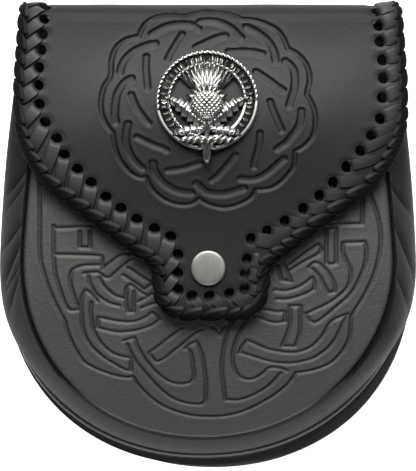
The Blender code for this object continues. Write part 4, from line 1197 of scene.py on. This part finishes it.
# a lace's section, from one edge to the other: share of its half width, share of its thickness
LACE_SECTION = np.array([(-1.0, 0.45), (-0.9, 0.85), (-0.55, 0.98), (0.0, 1.0), (0.55, 0.98),
                         (0.9, 0.85), (1.0, 0.45)])
thong_blank = leather_blank("flap_lace_thong", THONG_CELLS, len(LACE_SECTION) - 1)
lace_pieces = []
rim_hits = []
for k, (hole, way) in enumerate(zip(hole_marks, stitch_ways)):
    _, _, end_inset, sag, end_share, *_ = stitch_at(k)
    run = reach(hole, way, SHORTEST_RUN, LONGEST_RUN, end_inset)
    edge = reach(hole, way, run, EDGE_WITHIN, 0.0)
    rim_hits.append(inset_of(*(hole + way * run))[1])
    thong, a, b, c = another(thong_blank)
    a = a / THONG_CELLS
    wide, thick = LACE_SECTION[np.rint(b).astype(int)].T
    # it is squeezed where it leaves its hole, spreads over the grain and is drawn in at its end
    half = stitch_width(k) / 2
    narrow = min(half, THONG_START_HALF)
    half = narrow + (half - narrow) * smooth((a - 0.12) / 0.16)
    half = half * (1 - (1 - end_share) * smooth((a - 0.3) / 0.22))
    b = wide * half
    tilt = 0.22 * wide * smooth((a - 0.12) / 0.1)
    height = np.where(c > 0.5, LACE_T * thick, 0.0) + tilt
    round_hole = np.clip(np.abs(b), 0.0, THONG_START_HALF)
    back = (HOLE_RADIUS - np.sqrt(HOLE_RADIUS**2 - round_hole**2)) * (1 - smooth((a - 0.1) / 0.2))
    slack = 0.12 * math.sin(k * 2.4)
    # up through its hole, over the grain, round the edge and back under the flap
    lay(thong, (hole, way),
        ((3.05, 0.0, -1.2), (3.05, 0.0, 1.2), (3.35, 0.0, 2.45), (4.2, 0.4 * sag, LACE_TOP),
         ((4.2 + run) / 2, sag + slack, LACE_TOP + 0.1), (run, 0.6 * sag, LACE_TOP),
         (edge - 0.25, 0.0, 2.5), (edge + 0.3, 0.0, 1.4), (edge - 0.25, 0.0, 0.2),
         (edge - 1.7, 0.0, -0.15), (edge - 3.6, 0.0, -0.15), (min(edge - 5.0, 4.0), 0.0, -0.1)),
        a, b, height, back)
    # painted shade on the stitch's outer end, where it turns down over the rim
    note(thong, "press", THONG_END_SHADE * smooth((a - 0.24) / 0.28))
    lace_pieces.append(thong)

# The bead along the rim: each link lies aslant round it, with one end inwards over the next
LINK_PITCH = 7.2
LINK_LAP = 1.5
LINK_T = 1.15
LINK_RISE = 1.3
LINK_OUTER_TURN = 142.0
LINK_INNER_TURN = 68.0
LINK_HALF_TURN = 54.0
LINK_HUMP_POWER = 0.72
LINK_CREASE = 0.4
LINK_CELLS, LINK_CELLS_ACROSS = 20, 8
LINK_SHADE = 0.9
BEAD_MIDDLE = 1.4
link_blank = leather_blank("flap_lace_link", LINK_CELLS, LINK_CELLS_ACROSS)
rim_index = np.arange(len(rim_x))
links = []
for k, (here, there) in enumerate(zip(rim_hits, rim_hits[1:])):
    room = (there - here) * RIM_STEP
    parts = max(1, round(room / LINK_PITCH))
    for share in (np.arange(parts) + 0.5) / parts:
        links.append((k + share, here + (there - here) * share, room / parts))
for place, middle, pitch in links:
    _, _, _, _, _, out, half_out, half_up, inwards = stitch_at(place)
    link, a, b, c = another(link_blank)
    a = a / LINK_CELLS
    at = np.clip(middle + (a - 0.5) * (pitch + LINK_LAP) / RIM_STEP, 0, len(rim_x) - 1)
    cx, cv, ox, ov = (np.interp(at, rim_index, line) for line in (rim_x, rim_v, *rim_out.T))
    inner_share = 0.5 + (a - 0.5) * inwards
    turn = np.radians(LINK_OUTER_TURN + (LINK_INNER_TURN - LINK_OUTER_TURN) * inner_share)
    hump = np.sin(math.pi * np.clip(a * 0.94 + 0.03, 0.0, 1.0)) ** LINK_HUMP_POWER
    wide = b * 2 / LINK_CELLS_ACROSS - 1
    taper = np.where(wide > 0, 0.6 + 0.4 * hump, 0.2 + 0.8 * hump)
    thick = LINK_T * (0.85 + 0.25 * wide) * (1.0 - 0.45 * np.abs(wide) ** 6)
    crease = (wide == 0.0) & (c > 0.5)
    thick = np.where(c > 0.5, thick, 0.0) - LINK_CREASE * crease
    turn = turn - wide * math.radians(LINK_HALF_TURN) * taper
    off = thick + LINK_RISE * (inner_share**1.5 * 0.6 + 0.4 * hump)
    outset = out - (half_out + off) * np.cos(turn)
    put(link, *on_flap(cx + ox * outset, cv + ov * outset, BEAD_MIDDLE + (half_up + off) * np.sin(turn)))
    # painted shade on the side of each link that faces outwards and down, at its ends between the links,
    # and in its middle crease
    facing_out = np.clip((np.degrees(turn) - 46.0) / 38.0, 0.0, 1.0)
    ends = np.clip(1.0 - 7.0 * np.minimum(a, 1.0 - a), 0.0, 1.0)
    note(link, "press", np.maximum.reduce([0.08 + LINK_SHADE * facing_out, LINK_SHADE * ends,
                                           0.85 * crease]))
    lace_pieces.append(link)

bpy.data.objects.remove(thong_blank)
bpy.data.objects.remove(link_blank)
flap_lace = joined(lace_pieces, "flap_lace_braid")
bpy.ops.object.mode_set(mode="EDIT")
bpy.ops.mesh.select_all(action="SELECT")
bpy.ops.mesh.normals_make_consistent(inside=False)
bpy.ops.object.mode_set(mode="OBJECT")
note(flap_lace, "edge", 0.0)
LACE_LEATHER = leather("lace_leather", (0.011, 0.011, 0.0115), (0.026, 0.026, 0.026), 0.42, 0.58,
                       pebble=0.9, specular=0.25)
finish(flap_lace, LACE_LEATHER, "lace_leather", "flap_lace")


# ---- Snap ----------------------------------------------------------------------------------
# The flap closes with a press stud: a spun brass cap, satin nickel plated, set through the
# tab, and a stud riveted in the front panel under it.

SNAP_PROFILE = (
    (2.0, -1.2), (5.5, -1.2), (5.5, -0.3), (3.2, -0.3), (3.2, 3.1), (6.9, 3.05), (7.35, 3.1), (7.5, 3.3),
    (7.52, 3.75), (7.46, 4.05), (7.32, 4.3), (7.08, 4.5), (6.7, 4.62), (6.2, 4.68), (5.0, 4.74),
    (3.5, 4.8), (1.5, 4.85), (0.3, 4.86),
)


def flap_stand(x, v, lift):
    """A matrix that stands a piece on the flap: its Z along the flap's normal, its X across."""
    here, left, right, below, above = (
        Vector([float(part) for part in on_flap(x + dx, v + dv, lift)])
        for dx, dv in ((0, 0), (-1, 0), (1, 0), (0, -1), (0, 1)))
    ahead = above - below
    normal = (right - left).cross(ahead).normalized()
    across = ahead.cross(normal).normalized()
    turn = Matrix((across, normal.cross(across), normal)).transposed().to_4x4()
    return Matrix.Translation(here * MM) @ turn


def turned(name, profile, sides, matrix):
    """A round piece turned to a profile of (radius, z), from its flat underside to its flat top."""
    made = rod(name, len(profile) - 1, sides)
    px, py, ring = places(made)
    radius, height = np.array(profile)[np.rint(ring).astype(int)].T
    put(made, px * radius, py * radius, height)
    made.data.transform(matrix)
    return made


snap_cap = turned("snap_cap_disc", SNAP_PROFILE, 64, flap_stand(SNAP_X, SNAP_Y, 0.0))


def metal_wear_group():
    """Fine scratches, dull clouds and grit for plated and cast metal."""
    group, given = new_group("metal_wear")
    where = given["Vector"]
    stretched = node(group, "ShaderNodeVectorMath", {"operation": "MULTIPLY"}, _0=where,
                     _1=(1.0, 0.12, 1.0)).outputs[0]
    lines = noise(group, stretched, 600.0, 3.0, 0.7)
    cloud = noise(group, where, 120.0, 4.0)
    grit = noise(group, where, 2400.0, 2.0)
    put_out(group, Tone=weighted(group, (cloud, 0.7), (lines, 0.3)),
            Gloss=weighted(group, (lines, 0.6), (cloud, 0.4)),
            Height=weighted(group, (lines, 0.6), (grit, 0.4)))
    return group


METAL_WEAR = metal_wear_group()
SCRATCH_DEPTH = 0.004
TARNISH_BLACK = 0.985
TARNISH_DULL = 0.3


def metal(name, dark, light, rough_low, rough_high, tarnished=False):
    """A metal finely scratched by handling; a tarnished one is black where "hollow" is noted."""
    made, tree, shader = blank_material(name)
    wear = node(tree, "ShaderNodeGroup", {"node_tree": METAL_WEAR},
                Vector=node(tree, "ShaderNodeTexCoord").outputs["Object"]).outputs
    colour = tinted(tree, wear["Tone"], dark, light)
    dull = node(tree, "ShaderNodeMapRange", Value=wear["Gloss"], From_Min=0.25, From_Max=0.75,
                To_Min=rough_low, To_Max=rough_high).outputs[0]
    if tarnished:
        deep = weighted(tree, (noted(tree, "hollow"), 1.0), (wear["Tone"], 0.3))
        deep = maths(tree, "SUBTRACT", deep, 0.15, clamp=True)
        colour = dimmed(tree, colour, maths(tree, "MULTIPLY_ADD", deep, -TARNISH_BLACK, 1.0))
        dull = weighted(tree, (dull, 1.0), (deep, TARNISH_DULL))
    for label, value in (("Base Color", colour), ("Roughness", dull),
                         ("Normal", bumped(tree, wear["Height"], SCRATCH_DEPTH))):
        tree.links.new(value, shader.inputs[label])
    shader.inputs["Metallic"].default_value = 1.0
    return made


SNAP_METAL = metal("snap_metal", (0.145, 0.145, 0.143), (0.295, 0.295, 0.288), 0.42, 0.54)
finish(snap_cap, SNAP_METAL, "snap_metal", "snap_cap")


def dress(name, material):
    """Gives a CAD node its better material."""
    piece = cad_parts[name]
    if not piece.material_slots:
        piece.data.materials.append(material)
    for place in piece.material_slots:
        place.material = material


dress("snap_stud", SNAP_METAL)


# ---- Badge ---------------------------------------------------------------------------------
# A cast and polished badge: a thistle with its leaves over a ring of small upright leaves, a
# twisted bar and a drop below it. It is oxidised black in its hollows and held through the
# flap by two pins with flat nuts.

BADGE_RING_RADIUS = 21.7
BADGE_BAND = 6.2
BADGE_LIFT = 0.5
ROPE_SWELL = 0.26
badge_place = flap_stand(BADGE_X, BADGE_Y, FLAP_T + BADGE_LIFT)
badge_parts = []


def cast(piece, x, y, z, hollow):
    """Sets a part of the badge in its plane and notes how deep in a hollow each point lies."""
    put(piece, x, y, z)
    note(piece, "hollow", hollow)
    piece.data.transform(badge_place)
    badge_parts.append(piece)


def hoop(name, radius, profile, sides, twist=0.0, strands=0):
    """A closed hoop whose section is a profile of (outward, z, hollow) about a circle."""
    choose()
    count = len(profile)
    bpy.ops.mesh.primitive_torus_add(major_segments=sides, minor_segments=count, major_radius=10.0,
                                     minor_radius=1.0)
    made = named(bpy.context.object, name)
    index = np.arange(len(made.data.vertices))
    angle = math.tau * (index // count) / sides
    out, up, hollow = np.array(profile, float)[index % count].T
    middle = 0.0
    if strands:
        middle = up.mean()
        wave = np.cos(strands * np.arctan2(up - middle, out) + twist * angle)
        out = out * (1.0 + ROPE_SWELL * wave)
        up = middle + (up - middle) * (1.0 + ROPE_SWELL * wave)
        hollow = np.clip(-wave, 0.0, 1.0)
    cast(made, np.cos(angle) * (radius + out), np.sin(angle) * (radius + out), up, hollow)


ROPE_SIDES = 10


def round_section(thick, height):
    """A round profile for a hoop, with its middle at a height."""
    turns = [math.tau * k / ROPE_SIDES for k in range(ROPE_SIDES)]
    return [(thick * math.cos(turn), height + thick * math.sin(turn), 0.0) for turn in turns]


half = BADGE_BAND / 2
middle = BADGE_RING_RADIUS - half
band_side = ((half, 0.0, 0.6), (half, 1.2, 0.4), (half - 0.5, 1.5, 0.2), (half - 1.3, 1.45, 0.8),
             (half - 1.5, 1.0, 1.0))
hoop("badge_band", middle, (*band_side, (0.0, 1.0, 1.0),
                            *((-out, up, hollow) for out, up, hollow in band_side[::-1])), 160)
hoop("badge_rope_outer", middle + half - 0.75, round_section(0.62, 1.75), 480, 60.0, 2)
hoop("badge_rope_inner", middle - half + 0.6, round_section(0.5, 1.7), 360, 48.0, 2)


def blade(name, length, width, turn, start, height, teeth=0, bend=0.0, rise=1.6, steps=24):
    """A pointed leaf with a raised rib and forward teeth, laid from a start point at a turn from up."""
    made = leather_blank(name, steps, 8)
    a, b, c = places(made)
    a = a / steps
    b = b / 4 - 1
    far = np.abs(b)
    ahead = (a * teeth) % 1.0
    tooth = 0.58 + 0.42 * ahead if teeth else 1.0
    half = width / 2 * np.sin(math.pi * np.clip(a, 0.03, 0.985) ** 0.75) ** 0.75 * tooth
    px = bend * np.sin(math.pi * a / 2) + b * half
    py = a * length
    vein = 0.22 * np.cos(math.tau * (a * teeth + 0.35 * far)) if teeth else 0.0
    ribbed = rise * (0.2 + 0.8 * (1 - far) ** 0.8 + vein * (1 - far))
    hollow = np.clip(far * 1.5 - 0.75, 0.0, 1.0)
    if teeth:
        hollow = np.maximum(hollow, np.clip(1.0 - ahead * 3.4, 0.0, 1.0) * np.clip(far * 4, 0.0, 1.0))
    angle = math.radians(-turn)
    cast(made, start[0] + px * math.cos(angle) - py * math.sin(angle),
         start[1] + px * math.sin(angle) + py * math.cos(angle),
         height + np.where(c > 0.5, ribbed, -0.7), hollow)


BAND_LEAVES = 40
BAND_LEAF_FOOT = middle - 1.75
for k in range(BAND_LEAVES):
    turn = 360.0 * k / BAND_LEAVES
    start = BAND_LEAF_FOOT * math.sin(math.radians(turn)), BAND_LEAF_FOOT * math.cos(math.radians(turn))
    blade(f"badge_band_leaf_{k}", 3.5, 1.5, turn, start, 0.9, rise=1.0, steps=8)

TUFT_SPREAD = 50.0
# each layer of florets: how many, how long and how high
TUFT_LAYERS = ((15, 19.5, 2.2), (12, 17.0, 3.2), (9, 13.0, 4.0))
for layer, (count, length, height) in enumerate(TUFT_LAYERS):
    for k, turn in enumerate(np.linspace(-TUFT_SPREAD, TUFT_SPREAD, count) * (1.0 - 0.12 * layer)):
        long = length * (1.0 - 0.22 * (abs(turn) / TUFT_SPREAD) ** 2) + 0.6 * math.sin(k * 2.1)
        blade(f"badge_tuft_{layer}_{k}", long, 1.9, turn, (turn * 0.035, 2.5), height - 1.0, rise=1.1,
              steps=12)

BULB_Y, BULB_Z = -2.5, 3.0
BULB_HALF_SIZE = (6.6, 7.0, 3.4)
BULB_SCALES = 9.0
BULB_SCALE_HEIGHT = 0.55
choose()
bpy.ops.mesh.primitive_uv_sphere_add(segments=96, ring_count=64, radius=1.0)
bulb = named(bpy.context.object, "badge_bulb")
x, y, z = places(bulb)
# the bulb's scales lie on two crossing sets of slanting lines
around = np.arctan2(x, z) / math.pi * BULB_SCALES
climb = np.arcsin(np.clip(y, -1.0, 1.0)) / math.pi * BULB_SCALES
valley = np.maximum(*(np.abs((line % 1.0) - 0.5) * 2 for line in (around + climb, around - climb)))
raised = BULB_SCALE_HEIGHT * (1 - valley**3)
cast(bulb, x * (BULB_HALF_SIZE[0] + raised), BULB_Y + y * BULB_HALF_SIZE[1],
     BULB_Z + z * (BULB_HALF_SIZE[2] + raised), np.clip(valley * 2.6 - 1.5, 0.0, 1.0))

SEPAL_SPREAD = 75.0
for k, turn in enumerate(np.linspace(-SEPAL_SPREAD, SEPAL_SPREAD, 9)):
    blade(f"badge_sepal_{k}", 5.2, 2.4, turn, (turn * 0.05, 2.2 - (turn / SEPAL_SPREAD) ** 2 * 1.4),
          4.6 - abs(turn) / 40, rise=1.2, steps=10)
for side in (-1, 1):
    blade(f"badge_leaf_{side + 1}", 22.0, 8.6, side * 68, (0.0, -12.0), 1.9, teeth=7, bend=-5.5 * side,
          steps=42)
    blade(f"badge_low_leaf_{side + 1}", 13.5, 6.0, side * 112, (side * 1.0, -12.5), 1.5, teeth=5,
          bend=-2.5 * side, rise=1.4, steps=30)
blade("badge_stem", 11.0, 3.2, 180, (0.0, -7.5), 2.2)

TWIST_BAR_RINGS = 60
TWIST_BAR_LENGTH = 23.0
TWIST_BAR_RADIUS = 1.55
TWIST_BAR_Y, TWIST_BAR_Z = -17.6, 2.6
bar = rod("badge_twist_bar", TWIST_BAR_RINGS, 12)
px, py, ring = places(bar)
wave = np.cos(2 * np.arctan2(py, px) + ring * 0.85)
end = np.sqrt(np.clip(1 - (np.abs(ring * 2 / TWIST_BAR_RINGS - 1)) ** 8, 0.02, 1.0))
thick = TWIST_BAR_RADIUS * (1.0 + 0.2 * wave) * end
cast(bar, (ring / TWIST_BAR_RINGS - 0.5) * TWIST_BAR_LENGTH, TWIST_BAR_Y + px * thick,
     TWIST_BAR_Z + py * thick, np.clip(-wave * 1.2, 0.0, 1.0))
for name, length, width, turn in (
        ("middle", 10.5, 3.6, 180), ("left", 5.6, 2.8, -128), ("right", 5.6, 2.8, 128)):
    blade(f"badge_drop_{name}", length, width, turn, (0.0, -18.6), 1.4)
for side in (-1, 1):
    pin = turned(f"badge_pin_{side + 1}", ((1.5, -4.6), (1.5, 1.0)), 20,
                 badge_place @ Matrix.Translation((side * BADGE_PIN_SPAN / 2 * MM, 0, 0)))
    note(pin, "hollow", 0.0)
    badge_parts.append(pin)
badge = joined(badge_parts, "badge_thistle")
BADGE_METAL = metal("badge_metal", (0.30, 0.30, 0.30), (0.55, 0.55, 0.545), 0.20, 0.32, tarnished=True)
finish(badge, BADGE_METAL, "badge_metal", "badge")
RIVET_METAL = metal("rivet_metal", (0.34, 0.34, 0.35), (0.50, 0.50, 0.50), 0.28, 0.42)
dress("badge_nut_left", RIVET_METAL)
dress("badge_nut_right", RIVET_METAL)


# ---- Hanger loops and their rivets ---------------------------------------------------------
# Two straps of 2 mm leather behind the back carry the pouch on its waist chain. Each foot is
# held through the back by a tubular rivet with a domed head.

LOOP_T = 2.0
LOOP_WIDTH = 18.0
LOOP_CELLS, LOOP_CELLS_ACROSS = 40, 10
# y and z along the strap
LOOP_PATH = np.array([(46.0, 4.6), (54.0, 4.6), (59.0, 0.0), (79.0, 0.0), (84.0, 4.6), (92.5, 4.6)])
LOOP_BEND = 2.0

loop_run = np.concatenate([[0.0], np.cumsum(np.hypot(*np.diff(LOOP_PATH, axis=0).T))])
for side, word in ((-1, "left"), (1, "right")):
    loop = leather_blank(f"hanger_loop_{word}_strap", LOOP_CELLS_ACROSS, LOOP_CELLS)
    across, up, outer_side = places(loop)
    b = across * 2 / LOOP_CELLS_ACROSS - 1
    s = up / LOOP_CELLS * loop_run[-1]
    y = np.interp(s, loop_run, LOOP_PATH[:, 0])
    # its bends are rounded over a few millimetres
    z = np.mean([np.interp(np.clip(s + shift, 0, loop_run[-1]), loop_run, LOOP_PATH[:, 1])
                 for shift in np.linspace(-LOOP_BEND, LOOP_BEND, 9)], axis=0)
    round_end = np.minimum.reduce([s, loop_run[-1] - s, (1 - np.abs(b)) * LOOP_WIDTH / 2])
    z = z + np.where(outer_side > 0.5, LOOP_T - rolled(round_end, 0.5), rolled(round_end, 0.6))
    put(loop, side * LOOP_X + b * LOOP_WIDTH / 2, y, z)
    note(loop, "press", 0.0)
    note(loop, "edge", hill(round_end, 0.0, 1.5))
    finish(loop, BACK_LEATHER_LIT, "body_leather", f"hanger_loop_{word}")
for level in ("lower", "upper"):
    for word in ("left", "right"):
        dress(f"rivet_{level}_{word}", RIVET_METAL)


# ---- Floor, light and camera ---------------------------------------------------------------
# The pouch is photographed straight from above on a bright white table. A wide soft light
# stands above its top and a weaker one below its bottom.

FLOOR_Z = -0.0002
FLOOR_GLOW = 0.9
WORLD_LIGHT = 0.05
WHITE = (1.0, 1.0, 1.0, 1.0)
LIGHT_TINT = (0.985, 1.0, 0.955)

choose()
bpy.ops.mesh.primitive_plane_add(size=6.0, location=(0.0, 0.0, FLOOR_Z))
floor = named(bpy.context.object, "floor")
floor_paint, _, floor_shader = blank_material("floor_paint")
for label, value in (("Base Color", (0.92, 0.92, 0.92, 1.0)), ("Roughness", 0.8),
                     ("Emission Color", WHITE), ("Emission Strength", FLOOR_GLOW)):
    floor_shader.inputs[label].default_value = value
floor.data.materials.append(floor_paint)

world = bpy.data.worlds.new("studio")
bpy.context.scene.world = world
world.use_nodes = True
world.node_tree.nodes["Background"].inputs["Color"].default_value = WHITE
world.node_tree.nodes["Background"].inputs["Strength"].default_value = WORLD_LIGHT
bpy.context.scene.view_settings.view_transform = "Standard"


def soft_light(name, place, width, height, power):
    """A wide light, in metres and watts, that faces the pouch."""
    lamp = bpy.data.lights.new(name, "AREA")
    lamp.shape = "RECTANGLE"
    lamp.size = width
    lamp.size_y = height
    lamp.energy = power
    lamp.color = LIGHT_TINT
    holder = bpy.data.objects.new(name, lamp)
    bpy.context.scene.collection.objects.link(holder)
    holder.location = place
    holder.rotation_euler = (-Vector(place)).to_track_quat("-Z", "Y").to_euler()


soft_light("key_light", (0.0, 0.80, 0.70), 1.1, 0.75, 32.0)
soft_light("low_light", (0.0, -0.95, 1.0), 1.2, 0.5, 8.0)

PHOTO_HEIGHT = 471
MM_A_PIXEL = 0.4348
CAMERA_DISTANCE = 1.5
SENSOR = 36.0
camera_data = bpy.data.cameras.new("camera")
camera_data.sensor_width = SENSOR
camera_data.lens = SENSOR * CAMERA_DISTANCE / (PHOTO_HEIGHT * MM_A_PIXEL * MM)
camera = bpy.data.objects.new("camera", camera_data)
bpy.context.scene.collection.objects.link(camera)
camera.location = (0.0, 0.0, CAMERA_DISTANCE)
bpy.context.scene.camera = camera
